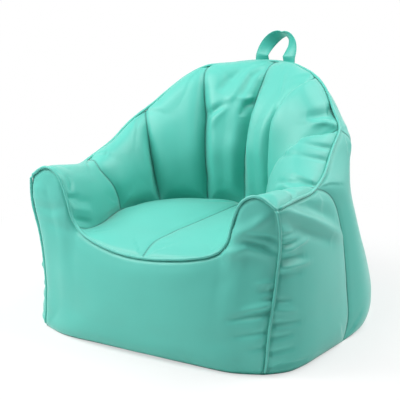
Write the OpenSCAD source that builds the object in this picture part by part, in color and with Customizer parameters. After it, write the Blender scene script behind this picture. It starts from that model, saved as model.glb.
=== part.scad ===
// Bean bag armchair: a sewn cover of sixteen curved panels and two flat base
// panels, round piping in its main seams, a carrying loop at the top of the
// back, a zip in the base, and a bead-filled liner bag inside.
//
// Every panel spans four seams. A seam is a smooth curve through a few named
// corners, so two panels that share a seam always meet along it. The right half
// is drawn and mirrored. X runs across the chair, -Y is its front, +Z is up.
// Sizes are measured from the front base seam, and the finished chair is then
// moved so that the origin lies under the middle of its bounding box.

/* [Front] */
// Distance between the top front corners
front_w = 816; // [760:1:880]
// Distance between the front corners of the base
foot_w = 756; // [700:1:800]
// Width of the seat between the arms, at the front
seat_w = 490; // [430:1:540]
// Distance between the highest points of the two arms
arm_peak_w = 702; // [660:1:740]
// Height of the front edge at its middle
lip_h = 290; // [250:1:320]
// Height of the front edge where the arms start
seat_corner_h = 347; // [320:1:380]
// Height of the arms at the front
arm_h = 516; // [470:1:560]
// Height of the top front corners
corner_h = 484; // [440:1:500]

/* [Seat] */
// Height of the fold between seat and back
fold_h = 305; // [280:1:330]
// Depth of the seat from the front edge to the middle of the fold
seat_d = 634; // [580:1:680]
// Width of the two middle back channels at the fold
middle_w = 236; // [200:1:270]
// Width of the four middle back channels at the fold
inner_w = 500; // [460:1:540]
// Width of the seat between the arms, at the back
seat_back_w = 590; // [550:1:630]

/* [Back] */
// Height of the rim at the middle of the back
back_h = 741; // [690:1:800]
// Height of the rim at the outer seams of the middle channels
shoulder_h = 722; // [680:1:760]
// Height of the rim at the seams next to the wings
wing_h = 596; // [565:1:630]
// Height of the rim where the arms end
arm_end_h = 479; // [440:1:520]
// Width of the rim at the outer seams of the middle channels
shoulder_w = 396; // [350:1:440]
// Width of the rim at the seams next to the wings
wing_w = 704; // [670:1:740]
// Width of the rim where the arms end
arm_end_w = 800; // [760:1:840]
// Length of the arms, from the front base seam to their end
arm_d = 319; // [290:1:350]

/* [Body] */
// Depth of the body from the front base seam to the rim of the back
body_d = 864; // [820:1:910]
// Width of the base at the side seams
base_w = 956; // [900:1:1000]
// Width of the base at the rear quarter seams
rear_w = 696; // [640:1:740]
// Distance from the front base seam to the side seams, at the base
side_y = 372; // [340:1:410]
// Distance from the front base seam to the rear quarter seams, at the base
rear_y = 765; // [730:1:800]

/* [Puff of the panels between their seams] */
// Puff of the seat halves
seat_puff = 26; // [10:1:40]
// Puff of the back channels
channel_puff = 30; // [15:1:45]
// Puff of the wings
wing_puff = 22; // [10:1:35]
// Puff of the arms
arm_puff = 7; // [3:1:14]
// Puff of the front panel
front_puff = 20; // [10:1:30]
// Puff of the side panels
side_puff = 14; // [5:1:30]
// Puff of the rear quarter panels
quarter_puff = 22; // [10:1:35]
// Puff of the rear panel
rear_puff = 36; // [15:1:50]

/* [Cover] */
// Thickness of the cover cloth with its backing
cover_t = 2.5; // [1.5:0.1:4]
// Outer diameter of the piping
piping_d = 9; // [6:0.5:12]
// Clearance between sewn pieces
clear = 0.3; // [0.2:0.05:0.5]

/* [Carrying loop] */
// Width of the strap
strap_w = 46; // [35:1:55]
// Thickness of the strap, two layers of cover cloth
strap_t = 4; // [3:0.5:6]
// Distance between the middles of the two strap ends
loop_w = 100; // [80:1:120]
// Height of the loop above its hinge line
loop_h = 84; // [70:1:100]
// Lean of the loop towards the rear, in degrees
loop_lean = 26; // [5:1:35]
// Height of the sewn strap ends above the rim seam
tab_h = 12; // [9:1:16]

/* [Base zip] */
// Length of the zip chain
zip_len = 560; // [450:5:620]
// Distance from the front base seam to the zip
zip_y = 470; // [420:1:520]
// Width of each zip tape
tape_w = 14; // [10:1:20]
// Thickness of each zip tape
tape_t = 0.8; // [0.6:0.1:1.2]
// Gap between the base panels that shows the chain
slot_w = 8; // [7:0.5:12]
// Pitch of the zip teeth
tooth_pitch = 10; // [8:1:14]
// Length of the slider
slider_l = 14; // [10:1:20]

/* [Liner] */
// Thickness of the liner cloth
liner_t = 1.2; // [0.8:0.1:2]
// Space between the cover panels and the liner
liner_gap = 12; // [8:1:16]
// Length of the liner's closing strip
closure_l = 420; // [300:10:500]
// Width of the liner's closing strip
closure_w = 24; // [16:1:32]

/* [Hidden] */

MINT = [0.45, 0.86, 0.78];
LOOP_MINT = [0.10, 0.72, 0.63];
WELT = [0.30, 0.76, 0.68];
LINER = [0.93, 0.93, 0.90];
BEADS = [0.98, 0.98, 0.98];
ZIP = [0.20, 0.62, 0.55];

// Cells along each kind of seam: middle channel, outer channel, wing, rise,
// seat side, outer wall. The liner and its fill need fewer.
FINE = [5, 5, 5, 9, 9, 8];
PLAIN = [3, 3, 3, 5, 5, 4];
TUBE_SIDES = 8;
// The outer walls are fullest low down, where the beads press
SAG = 0.6;

// ---- Curves ----
function flip(p) = [0 - p.x, p.y, p.z];
function flip_all(P) = [for (p = P) flip(p)];
function back_to_front(P) = [for (i = [len(P) - 1:-1:0]) P[i]];
// Whole seam from its right half, which starts on the centre plane
function both_halves(P) = concat([for (i = [len(P) - 1:-1:1]) flip(P[i])], P);
// Smooth curve through the points P, at the parameter t = 0 .. len(P) - 1
function spline(P, t) =
    let (n = len(P) - 1, i = min(floor(t), n - 1), f = t - i,
         a = P[max(i - 1, 0)], b = P[i], c = P[i + 1], d = P[min(i + 2, n)])
    f == 0 ? b : f == 1 ? c :
    0.5 * ((2 * b) + (c - a) * f + (2 * a - 5 * b + 4 * c - d) * f * f
           + (3 * b - a - 3 * c + d) * f * f * f);
// Distance along the polyline P to each of its points
function lengths(P) = [for (k = 0, s = 0; k < len(P);
    s = s + (k < len(P) - 1 ? norm(P[k + 1] - P[k]) : 0), k = k + 1) s];
// The point at the distance s along the polyline P with the lengths L
function along(P, L, s) =
    let (k = max([for (i = [0:len(L) - 2]) if (i == 0 || L[i] <= s) i]))
    P[k] + (P[k + 1] - P[k]) * (s - L[k]) / (L[k + 1] - L[k]);
// The stretch of a smooth curve from point i to point j, in n cells of one length
function run(P, i, j, n) =
    let (m = 6 * n, D = [for (k = [0:m]) spline(P, i + (j - i) * k / m)], L = lengths(D))
    [for (k = [0:n]) k == 0 ? D[0] : k == n ? D[m] : along(D, L, L[m] * k / n)];
function unit(v) = v / norm(v);

// ---- Corners where three or more seams meet, right half ----
lip = [0, 2, lip_h];
seat_corner = [seat_w / 2, 24, seat_corner_h];
arm_peak = [arm_peak_w / 2, 32, arm_h];
top_corner = [front_w / 2, 34, corner_h];
foot_corner = [foot_w / 2, 38, 0];
fold_middle = [0, seat_d, fold_h];
fold_inner = [middle_w / 2, seat_d - 32, fold_h];
fold_outer = [inner_w / 2, seat_d - 119, fold_h];
fold_arm = [seat_back_w / 2, seat_d - 287, fold_h + 13];
rim_middle = [0, body_d, back_h];
rim_inner = [shoulder_w / 2, body_d - 108, shoulder_h];
rim_outer = [wing_w / 2, body_d - 285, wing_h];
rim_arm = [arm_end_w / 2, arm_d, arm_end_h];
side_foot = [base_w / 2, side_y, 0];
rear_foot = [rear_w / 2, rear_y, 0];
front_foot = [0, 0, 0];
back_foot = [0, body_d - 22, 0];

// ---- Seams, right half. Points between the corners shape each curve ----
front_top = both_halves([
    lip, lip + [100, 4, 7], lip + [200, 14, 30], seat_corner,
    seat_corner + [20, 2, 33], seat_corner + [33, 4, 82], seat_corner + [56, 6, 140],
    arm_peak + [-24, 0, -6], arm_peak, arm_peak + [32, 1, -15], top_corner]);
rim = both_halves([
    rim_middle, rim_middle + [70, -14, -2], rim_middle + [136, -56, -10], rim_inner,
    rim_inner + [60, -48, -32], rim_inner + [115, -112, -80], rim_outer,
    rim_outer + [22, -60, -40], rim_outer + [36, -140, -88], rim_arm,
    rim_arm + [2, -66, -4], rim_arm + [3, -140, 2], top_corner + [2, 50, 2], top_corner]);
corner_seam = [
    foot_corner, foot_corner + [8, -6, 32], foot_corner + [14, -8, 125],
    foot_corner + [19, -8, 215], foot_corner + [23, -6, 305],
    top_corner + [4, -2, -90], top_corner + [5, -2, -42], top_corner];
side_seam = [
    side_foot, side_foot + [4, 22, 50], side_foot + [-10, 40, 160],
    side_foot + [-28, 48, 290], rim_arm + [30, 90, -76], rim_arm + [14, 46, -20], rim_arm];
rear_seam = [
    rear_foot, rear_foot + [12, 0, 60], rear_foot + [18, -38, 160],
    rear_foot + [14, -120, 300], rim_outer + [14, 36, -166], rim_outer + [26, 38, -60],
    rim_outer + [18, 28, -12], rim_outer];
seat_side = [
    seat_corner, seat_corner + [6, 70, -18], seat_corner + [22, 170, -24],
    fold_arm + [-8, -60, 2], fold_arm];
seat_middle = [
    lip, lip + [0, 26, 22], lip + [0, 68, 31], lip + [0, 180, 36], lip + [0, 330, 30],
    fold_middle + [0, -64, 5], fold_middle];
fold = both_halves([
    fold_middle, fold_middle + [60, -6, 0], fold_inner, fold_inner + [72, -34, 0],
    fold_outer, fold_outer + [36, -80, 5], fold_arm]);
middle_seam = [
    fold_middle, fold_middle + [0, -6, 90], fold_middle + [0, 2, 178],
    fold_middle + [0, 34, 240], fold_middle + [0, 80, 338], rim_middle + [0, -56, -10],
    rim_middle];
inner_seam = [
    fold_inner, fold_inner + [8, -2, 90], fold_inner + [16, 6, 175],
    fold_inner + [32, 34, 256], fold_inner + [54, 78, 350], rim_inner + [-8, -38, -14],
    rim_inner];
outer_seam = [
    fold_outer, fold_outer + [16, 0, 70], fold_outer + [36, 6, 140],
    fold_outer + [62, 20, 215], rim_outer + [-20, -24, -26], rim_outer];
arm_seam = [
    fold_arm, fold_arm + [3, -12, 40], fold_arm + [8, -34, 90],
    rim_arm + [-66, -32, -12], rim_arm + [-36, -18, 8], rim_arm];
front_base = both_halves([
    front_foot, front_foot + [150, 0, 0], front_foot + [285, 4, 0], foot_corner]);
side_base = [
    foot_corner, foot_corner + [50, 50, 0], foot_corner + [72, 118, 0],
    side_foot + [-16, -130, 0], side_foot];
quarter_base = [
    side_foot, side_foot + [2, 120, 0], rear_foot + [84, -140, 0], rear_foot];
rear_base = both_halves([
    back_foot, back_foot + [110, -6, 0], back_foot + [220, -28, 0], rear_foot]);

// ---- Seams as lists of points, for the cell counts n ----
function c_lip_to_arm(n) = run(front_top, 10, 13, n[0] + n[1] + n[2]);
function c_arm_front(n) = run(front_top, 13, 20, n[3]);
function c_rim_middle(n) = run(rim, 13, 16, n[0]);
function c_rim_outer(n) = run(rim, 16, 19, n[1]);
function c_rim_wing(n) = run(rim, 19, 22, n[2]);
function c_rim_arm(n) = run(rim, 22, 26, n[4]);
function c_corner(n) = run(corner_seam, 0, 7, n[5]);
function c_side(n) = run(side_seam, 0, 6, n[5]);
function c_rear(n) = run(rear_seam, 0, 7, n[5]);
function c_seat_side(n) = run(seat_side, 0, 4, n[4]);
function c_seat_middle(n) = run(seat_middle, 0, 6, n[4]);
function c_fold_middle(n) = run(fold, 6, 8, n[0]);
function c_fold_outer(n) = run(fold, 8, 10, n[1]);
function c_fold_wing(n) = run(fold, 10, 12, n[2]);
function c_middle(n) = run(middle_seam, 0, 6, n[3]);
function c_inner(n) = run(inner_seam, 0, 6, n[3]);
function c_outer(n) = run(outer_seam, 0, 5, n[3]);
function c_arm(n) = run(arm_seam, 0, 5, n[3]);
function c_front_base(n) = run(front_base, 3, 6, n[0] + n[1] + n[2] + n[3]);
function c_side_base(n) = run(side_base, 0, 4, n[4]);
function c_quarter_base(n) = run(quarter_base, 0, 3, n[2]);
function c_rear_base(n) = run(rear_base, 3, 6, n[0] + n[1]);
function joined(A, B) = concat(A, [for (i = [1:len(B) - 1]) B[i]]);
// The base seam all the way round, from the left front corner over the right
function base_ring(n) =
    let (side = joined(c_side_base(n), c_quarter_base(n)),
         rear = back_to_front(both_halves(c_rear_base(n))),
         loop = joined(both_halves(c_front_base(n)),
                       joined(side, joined(rear, back_to_front(flip_all(side))))))
    [for (k = [0:len(loop) - 2]) loop[k]];

// ---- Panel surface: blends its four seams, then puffs out between them ----
// b, t run the same way; l, r run from b to t. puff is the direction and height,
// sag below 1 brings the fullest part nearer to b, and a smaller value of full
// makes the panel rise faster from its seams.
function patch(b, t, l, r, puff, sag = 1, full = 0.6) =
    let (nu = len(b) - 1, nv = len(l) - 1)
    [for (j = [0:nv]) [for (i = [0:nu])
        j == 0 ? b[i] : j == nv ? t[i] : i == 0 ? l[j] : i == nu ? r[j] :
        let (u = i / nu, v = j / nv,
             p = (1 - v) * b[i] + v * t[i] + (1 - u) * l[j] + u * r[j]
                 - (1 - u) * ((1 - v) * b[0] + v * t[0])
                 - u * ((1 - v) * b[nu] + v * t[nu]),
             across = share(p, l[j], r[j]), up = share(p, b[i], t[i]))
        p + puff * pow(sin(180 * across) * sin(180 * pow(up, sag)), full)]];
// How far p lies on the way from a to b, from 0 to 1
function share(p, a, b) = norm(p - a) / (norm(p - a) + norm(p - b));

function seat_grid(n) = patch(c_lip_to_arm(n),
    joined(c_fold_middle(n), joined(c_fold_outer(n), c_fold_wing(n))),
    c_seat_middle(n), c_seat_side(n), [0, 0, seat_puff], full = 1);
function middle_grid(n) = patch(c_fold_middle(n), c_rim_middle(n), c_middle(n), c_inner(n),
    channel_puff * unit([-0.1, -1, 0.35]));
function outer_grid(n) = patch(c_fold_outer(n), c_rim_outer(n), c_inner(n), c_outer(n),
    channel_puff * unit([-0.5, -0.9, 0.35]));
function wing_grid(n) = patch(c_fold_wing(n), c_rim_wing(n), c_outer(n), c_arm(n),
    wing_puff * unit([-0.9, -0.35, 0.3]));
function arm_grid(n) = patch(back_to_front(c_seat_side(n)), c_rim_arm(n),
    c_arm(n), c_arm_front(n), arm_puff * unit([-0.8, 0, 0.7]));
function front_grid(n) = patch(both_halves(c_front_base(n)),
    both_halves(joined(c_lip_to_arm(n), c_arm_front(n))),
    flip_all(c_corner(n)), c_corner(n), [0, -front_puff, 0], SAG);
function side_grid(n) = patch(c_side_base(n), back_to_front(c_rim_arm(n)),
    c_corner(n), c_side(n), side_puff * unit([1, -0.12, -0.05]), SAG);
function quarter_grid(n) = patch(c_quarter_base(n), back_to_front(c_rim_wing(n)),
    c_side(n), c_rear(n), quarter_puff * unit([0.85, 0.5, 0]), 0.8, 0.4);
function rear_grid(n) =
    let (top = back_to_front(both_halves(joined(c_rim_middle(n), c_rim_outer(n)))))
    patch(back_to_front(both_halves(c_rear_base(n))), top,
          c_rear(n), flip_all(c_rear(n)), [0, rear_puff, 0], 0.8, 0.4);

// ---- Inward direction: points the cloth at the middle of the bag's walls ----
HEART = concat(
    [for (x = [-270, -90, 90, 270]) for (y = [110, 300, 490]) [x, y, 150]],
    [for (s = [-1, 1]) for (p = [
        [320, 120, 215], [325, 290, 215], [315, 450, 210], [245, 580, 205], [125, 670, 205],
        [345, 100, 410], [350, 200, 410], [364, 320, 395], [366, 430, 400], [345, 560, 400],
        [355, 535, 490], [265, 680, 440], [262, 690, 570], [130, 755, 430], [150, 765, 600]])
        [s * p.x, p.y, p.z]],
    [for (p = [[700, 205], [775, 430], [812, 610]]) [0, p[0], p[1]]]);
function pull(p, i = 0) = i == len(HEART) ? [0, 0, 0]
    : let (d = HEART[i] - p) d / pow(norm(d), 4) + pull(p, i + 1);
// Flat at the base seam, so that the panels stand on one plane
function inward(p) =
    let (f = unit(pull(p)), g = unit([f.x, f.y, f.z * min(1, p.z / 60)])) g;
function sunk(p, depth) = let (f = inward(p)) p + f * depth;
function sunk_grid(G, depth) = [for (row = G) [for (p = row) sunk(p, depth)]];

// ---- Solids ----
function toward(a, b, c) = (b - a) * c / norm(b - a);
// The grid G with its outer edge drawn in by c, so that sewn panels don't share it
function eased(G, c) =
    let (nv = len(G) - 1, nu = len(G[0]) - 1)
    [for (j = [0:nv]) [for (i = [0:nu]) G[j][i]
        + (i == 0 ? toward(G[j][0], G[j][1], c)
           : i == nu ? toward(G[j][nu], G[j][nu - 1], c) : [0, 0, 0])
        + (j == 0 ? flat(toward(G[0][i], G[1][i], c), G[j][i])
           : j == nv ? toward(G[nv][i], G[nv - 1][i], c) : [0, 0, 0])]];
// Leaves points of the base plane in it
function flat(v, p) = p.z == 0 ? [v.x, v.y, 0] : v;

// Triangles of a grid of nv rows of nu points from index m on, seen from outside
function grid_faces(nu, nv, m, turned = false) =
    [for (j = [0:nv - 2]) for (i = [0:nu - 2])
        let (a = m + j * nu + i, b = a + 1, c = a + nu, d = c + 1)
        each turned ? [[a, b, d], [a, d, c]] : [[a, d, b], [a, c, d]]];

// Solid between the outer grid A and the inner grid B
module slab(A, B) {
    nv = len(A);
    nu = len(A[0]);
    m = nu * nv;
    last = (nv - 1) * nu;
    points = concat([for (row = A) each row], [for (row = B) each row]);
    faces = concat(
        grid_faces(nu, nv, 0), grid_faces(nu, nv, m, turned = true),
        [for (i = [0:nu - 2]) each [
            [i, i + 1, m + i + 1], [i, m + i + 1, m + i],
            [last + i + 1, last + i, m + last + i],
            [last + i + 1, m + last + i, m + last + i + 1]]],
        [for (j = [0:nv - 2]) let (a = j * nu, b = a + nu, c = a + nu - 1, d = b + nu - 1)
            each [[b, a, m + a], [b, m + a, m + b], [c, d, m + d], [c, m + d, m + c]]]);
    polyhedron(points, faces, convexity = 6);
}

module panel(G) {
    E = eased(G, clear / 2);
    slab(E, sunk_grid(E, cover_t));
}

// Round piping along the seam P, lying on the outside of the seam
module piping(P) {
    n = len(P) - 1;
    r = piping_d / 2;
    rings = [for (k = [0:n])
        let (t = unit(P[min(k + 1, n)] - P[max(k - 1, 0)]),
             o = inward(P[k]), a = unit(o - t * (o * t)), b = cross(t, a),
             c = P[k] - a * (r + clear))
        [for (s = [0:TUBE_SIDES - 1])
            c + r * (cos(360 * s / TUBE_SIDES) * a + sin(360 * s / TUBE_SIDES) * b)]];
    last = n * TUBE_SIDES;
    faces = concat(
        [for (k = [0:n - 1]) for (s = [0:TUBE_SIDES - 1])
            let (a = k * TUBE_SIDES + s, b = k * TUBE_SIDES + (s + 1) % TUBE_SIDES)
            each [[a, a + TUBE_SIDES, b + TUBE_SIDES], [a, b + TUBE_SIDES, b]]],
        [[for (s = [0:TUBE_SIDES - 1]) s]],
        [[for (s = [TUBE_SIDES - 1:-1:0]) last + s]]);
    polyhedron([for (ring = rings) each ring], faces, convexity = 8);
}
// The path P without its last stretch of length d
function cut_back(P, d) =
    let (n = len(P) - 1)
    [for (k = [0:n]) k < n ? P[k] : P[n] + toward(P[n], P[n - 1], d)];
function cut_both(P, d) = back_to_front(cut_back(back_to_front(cut_back(P, d)), d));

// ---- Bag inside the cover: the same seams, drawn in by depth, on a flat floor ----
function on_floor(p, floor_z) = [p.x, p.y, max(p.z, floor_z)];
function inner_grid(G, depth, floor_z) =
    [for (row = sunk_grid(G, depth)) [for (p = row) on_floor(p, floor_z)]];
module bag(depth, floor_z) {
    n = PLAIN;
    right = [for (G = [seat_grid(n), middle_grid(n), outer_grid(n), wing_grid(n), arm_grid(n),
                       side_grid(n), quarter_grid(n)]) inner_grid(G, depth, floor_z)];
    left = [for (G = right) [for (row = G) flip_all(row)]];
    whole = [for (G = [front_grid(n), rear_grid(n)]) inner_grid(G, depth, floor_z)];
    grids = concat(whole, right, left);
    rest = [for (p = base_ring(n)) on_floor(sunk(p, depth), floor_z)];
    sizes = [for (G = grids) len(G) * len(G[0])];
    function before(k) = k == 0 ? 0 : sizes[k - 1] + before(k - 1);
    points = concat([for (G = grids) for (row = G) each row], rest);
    faces = concat(
        [for (k = [0:len(grids) - 1])
            each grid_faces(len(grids[k][0]), len(grids[k]), before(k),
                            turned = k >= len(whole) + len(right))],
        [[for (k = [0:len(rest) - 1]) before(len(grids)) + k]]);
    polyhedron(points, faces, convexity = 10);
}

// ---- Carrying loop ----
rim_step = 70;
loop_y = rim_middle.y - 6;
loop_z = back_h + piping_d + tab_h;
function rim_at(x) = spline(rim, 13 + x / rim_step);
// Middle line of the strap, from the right end over the top to the left end
function loop_line(a) = [
    loop_w / 2 * cos(a), 0, loop_h * pow(sin(a), 0.9)];
module strap() {
    n = 28;
    half_t = strap_t / 2;
    turns = [for (k = [0:n])
        let (a = 180 * k / n, p = loop_line(a),
             t = unit(loop_line(min(a + 2, 180)) - loop_line(max(a - 2, 0))),
             end = k == 0 || k == n, across = end ? [cos(a), 0, 0] : [t.z, 0, 0 - t.x],
             w = abs(cos(a)) * across + sin(a) * [0, -1, 0])
        [p, w, end ? [0, -1, 0] : cross(w, t), half_t]];
    // Round about the hinge line, so that the strap turns on its seat
    function round_end(s) = [for (a = [80, 45])
        [[s * loop_w / 2, 0, -half_t * sin(a)], [s, 0, 0], [0, -1, 0], half_t * cos(a)]];
    rows = concat(round_end(1), turns, back_to_front(round_end(-1)));
    function face(side) = [for (r = rows) [for (s = [-1, 0, 1])
        r[0] + r[1] * s * strap_w / 2 + r[2] * side * r[3]]];
    translate([0, loop_y, loop_z]) rotate([-loop_lean, 0, 0]) slab(face(1), face(-1));
}
module tab() {
    xs = [for (k = [0:4]) loop_w / 2 + strap_w * (k / 4 - 0.5)];
    top_z = loop_z - strap_t / 2 - clear;
    function foot(x) = let (p = rim_at(x), o = inward(p)) p - o * (piping_d + 2 * clear);
    function face(s) = [
        [for (x = xs) let (p = foot(x)) [x, p.y + s * strap_t / 2, p.z + 1.5]],
        [for (x = xs) [x, loop_y + s * strap_t / 2, top_z]]];
    slab(face(-1), face(1));
}

// ---- Base and its zip ----
zip_at = [0, zip_y, 0];
web = 1;
row_w = 2.4;
row_in = web / 2 + clear;
row_out = row_in + row_w;
tooth_z = cover_t - 1.4;
tooth_top = cover_t + tape_t;
stop_l = 5;
plate_t = 0.6;
floor_gap = 0.2;
inner_plate_t = 1;
closure_t = 1;
liner_z = tooth_top + inner_plate_t + 2 * clear;

module base_half(s) {
    outline = [for (p = base_ring(FINE)) let (q = sunk(p, cover_t + clear)) [q.x, q.y]];
    linear_extrude(cover_t) intersection() {
        polygon(outline);
        difference() {
            translate([0, zip_at.y + s * (clear / 2 + body_d / 2)])
                square([2 * base_w, body_d], center = true);
            translate([0, zip_at.y])
                square([zip_len + 2 * stop_l + 2 * clear, slot_w], center = true);
        }
    }
}
module zip_tape(s) {
    translate([-zip_len / 2, zip_at.y + (s > 0 ? row_out : -row_out - tape_w), cover_t])
        cube([zip_len, tape_w, tape_t]);
}
// One row of teeth on its spine
module zip_teeth(s) {
    count = floor(zip_len / tooth_pitch);
    spine = 1;
    tooth = tooth_pitch * 0.55;
    outline = concat(
        [[-zip_len / 2, row_out], [-zip_len / 2, row_out - spine]],
        [for (k = [0:count - 1])
            let (x = (k + 0.5 - count / 2) * tooth_pitch)
            each [[x - tooth / 2, row_out - spine], [x - tooth / 2, row_in],
                  [x + tooth / 2, row_in], [x + tooth / 2, row_out - spine]]],
        [[zip_len / 2, row_out - spine], [zip_len / 2, row_out]]);
    translate([0, zip_at.y, tooth_z]) linear_extrude(tooth_top - tooth_z)
        polygon([for (p = outline) [p.x, s * p.y]]);
}
module zip_stop(s) {
    translate([s > 0 ? zip_len / 2 : -zip_len / 2 - stop_l, zip_at.y - row_out, tooth_z])
        cube([stop_l, 2 * row_out, tooth_top - tooth_z]);
}

// ---- Origin: under the middle of the whole chair's bounding box ----
loop_rear = loop_y + (loop_h + strap_t / 2) * sin(loop_lean) + strap_w / 2 * cos(loop_lean);
wall_rear = max([for (row = rear_grid(FINE)) for (p = row) p.y]);
wall_front = min([for (row = front_grid(FINE)) for (p = row) p.y]);
mid_y = (wall_front + max(wall_rear, loop_rear)) / 2;
module placed() { translate([0, -mid_y, 0]) children(); }

// ---- Pieces ----
module front_panel() { color(MINT) placed() panel(front_grid(FINE)); }
module right_side_panel() { color(MINT) placed() panel(side_grid(FINE)); }
module left_side_panel() { mirror([1, 0, 0]) right_side_panel(); }
module right_quarter_panel() { color(MINT) placed() panel(quarter_grid(FINE)); }
module left_quarter_panel() { mirror([1, 0, 0]) right_quarter_panel(); }
module rear_panel() { color(MINT) placed() panel(rear_grid(FINE)); }
module right_seat_panel() { color(MINT) placed() panel(seat_grid(FINE)); }
module left_seat_panel() { mirror([1, 0, 0]) right_seat_panel(); }
module right_middle_channel() { color(MINT) placed() panel(middle_grid(FINE)); }
module left_middle_channel() { mirror([1, 0, 0]) right_middle_channel(); }
module right_outer_channel() { color(MINT) placed() panel(outer_grid(FINE)); }
module left_outer_channel() { mirror([1, 0, 0]) right_outer_channel(); }
module right_wing_panel() { color(MINT) placed() panel(wing_grid(FINE)); }
module left_wing_panel() { mirror([1, 0, 0]) right_wing_panel(); }
module right_arm_panel() { color(MINT) placed() panel(arm_grid(FINE)); }
module left_arm_panel() { mirror([1, 0, 0]) right_arm_panel(); }

module front_piping() {
    color(WELT) placed() piping(both_halves(joined(c_lip_to_arm(FINE), c_arm_front(FINE))));
}
module rim_piping() {
    half = joined(joined(c_rim_middle(FINE), c_rim_outer(FINE)),
                  joined(c_rim_wing(FINE), c_rim_arm(FINE)));
    color(WELT) placed() piping(cut_both(both_halves(half), 1.2 * piping_d));
}
module right_corner_piping() {
    path = cut_back(c_corner(FINE), 1.2 * piping_d);
    color(WELT) placed() piping(back_to_front(cut_back(back_to_front(path), piping_d / 2)));
}
module left_corner_piping() { mirror([1, 0, 0]) right_corner_piping(); }

module right_handle_tab() { color(LOOP_MINT) placed() tab(); }
module left_handle_tab() { mirror([1, 0, 0]) right_handle_tab(); }
module handle_strap() { color(LOOP_MINT) placed() strap(); }

module base_front_panel() { color(MINT) placed() base_half(-1); }
module base_rear_panel() { color(MINT) placed() base_half(1); }
module zip_front_tape() { color(ZIP) placed() zip_tape(-1); }
module zip_rear_tape() { color(ZIP) placed() zip_tape(1); }
module zip_front_teeth() { color(ZIP) placed() zip_teeth(-1); }
module zip_rear_teeth() { color(ZIP) placed() zip_teeth(1); }
module zip_left_stop() { color(ZIP) placed() zip_stop(-1); }
module zip_right_stop() { color(ZIP) placed() zip_stop(1); }
module zip_slider() {
    outer_w = slot_w - 2 * clear;
    wide = 2 * row_out + 6;
    color(ZIP) placed() translate([zip_len / 2 - clear - slider_l, zip_at.y, 0]) {
        translate([0, -outer_w / 2, floor_gap])
            cube([slider_l, outer_w, tooth_z - clear - floor_gap]);
        translate([0, -web / 2, floor_gap])
            cube([slider_l, web, tooth_top + clear + inner_plate_t - floor_gap]);
        translate([0, -wide / 2, tooth_top + clear])
            cube([slider_l, wide, inner_plate_t]);
    }
}

module inner_liner() {
    color(LINER) placed() difference() {
        bag(cover_t + liner_gap, liner_z);
        bag(cover_t + liner_gap + 2 * liner_t, liner_z + liner_t);
    }
}
module liner_closure() {
    color(LINER) placed() translate([-closure_l / 2, zip_at.y - 4 * closure_w, liner_z - clear - closure_t])
        cube([closure_l, closure_w, closure_t]);
}
module bead_fill() {
    color(BEADS) placed() bag(cover_t + liner_gap + 2 * liner_t + 1, liner_z + liner_t + clear);
}

front_panel();
left_side_panel();
right_side_panel();
left_quarter_panel();
right_quarter_panel();
rear_panel();
left_seat_panel();
right_seat_panel();
left_middle_channel();
right_middle_channel();
left_outer_channel();
right_outer_channel();
left_wing_panel();
right_wing_panel();
left_arm_panel();
right_arm_panel();
front_piping();
rim_piping();
left_corner_piping();
right_corner_piping();
left_handle_tab();
right_handle_tab();
handle_strap();
base_front_panel();
base_rear_panel();
zip_front_tape();
zip_rear_tape();
zip_front_teeth();
zip_rear_teeth();
zip_slider();
zip_left_stop();
zip_right_stop();
inner_liner();
liner_closure();
bead_fill();
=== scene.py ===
"""Looks of a bean bag armchair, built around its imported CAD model.

Every cover panel starts from the outer sheet of its CAD node. The sheet is read back as a grid, sampled
finely along smooth curves, drawn in at its seams, shifted as the filled chair has settled and blown up by a
cloth simulation that holds its seams. Folds and puckers are then pressed into it. The piping follows the
seams of the panels.
"""

import logging
import math
from collections import deque
from dataclasses import dataclass, field
from enum import Enum, IntEnum
from functools import cached_property
from typing import Sequence

import bmesh
import bpy
import numpy as np
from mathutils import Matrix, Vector
from mathutils.bvhtree import BVHTree
from mathutils.kdtree import KDTree


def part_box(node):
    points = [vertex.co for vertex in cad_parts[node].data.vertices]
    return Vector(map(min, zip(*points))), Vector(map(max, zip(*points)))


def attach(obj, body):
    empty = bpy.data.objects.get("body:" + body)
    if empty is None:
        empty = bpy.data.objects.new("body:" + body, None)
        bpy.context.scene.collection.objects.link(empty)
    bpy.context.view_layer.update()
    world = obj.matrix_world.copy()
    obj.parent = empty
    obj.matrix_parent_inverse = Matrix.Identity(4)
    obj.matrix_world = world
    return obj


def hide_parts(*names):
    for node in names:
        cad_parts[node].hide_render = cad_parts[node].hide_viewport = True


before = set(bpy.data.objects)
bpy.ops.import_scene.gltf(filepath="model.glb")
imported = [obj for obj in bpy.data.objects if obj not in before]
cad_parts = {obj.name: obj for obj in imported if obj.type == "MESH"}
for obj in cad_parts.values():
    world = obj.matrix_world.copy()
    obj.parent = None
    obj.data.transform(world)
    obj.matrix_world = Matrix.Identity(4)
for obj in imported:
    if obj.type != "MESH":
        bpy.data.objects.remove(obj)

Array = np.ndarray
Object = bpy.types.Object
Socket = bpy.types.NodeSocket

LOG = logging.getLogger("bean_bag_chair")
MM = 0.001
CHAIR = "chair"
HANDLE = "handle"
WELD = 0.02 * MM
FEWEST_CELLS = 20
SHEET_RIM = 6 * MM
PIPED_GAP = 2 * MM
PIPED_SINK = 2 * MM
NOISE_CELLS = 512
FRAMES = 20
# The floor lies at 0, and points lower than this lie on it
ON_FLOOR = MM


class Seed(IntEnum):
    """The noise that each kind of unevenness is drawn from."""

    BASE_ACROSS = 5
    BASE_ALONG = 6
    LINER = 31
    BEADS = 32
    BASE_FRONT = 41
    BASE_REAR = 42
    FOOT = 61
    PIPING_LIFT = 71
    PIPING_SWELL = 72
    PIPING_GRAIN = 73
    STRAP = 81
    TAPE = 91


class SeamKind(Enum):
    """How the edge of a panel is sewn."""

    PIPED = "piped"
    PLAIN = "plain"
    BASE = "base"


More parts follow.
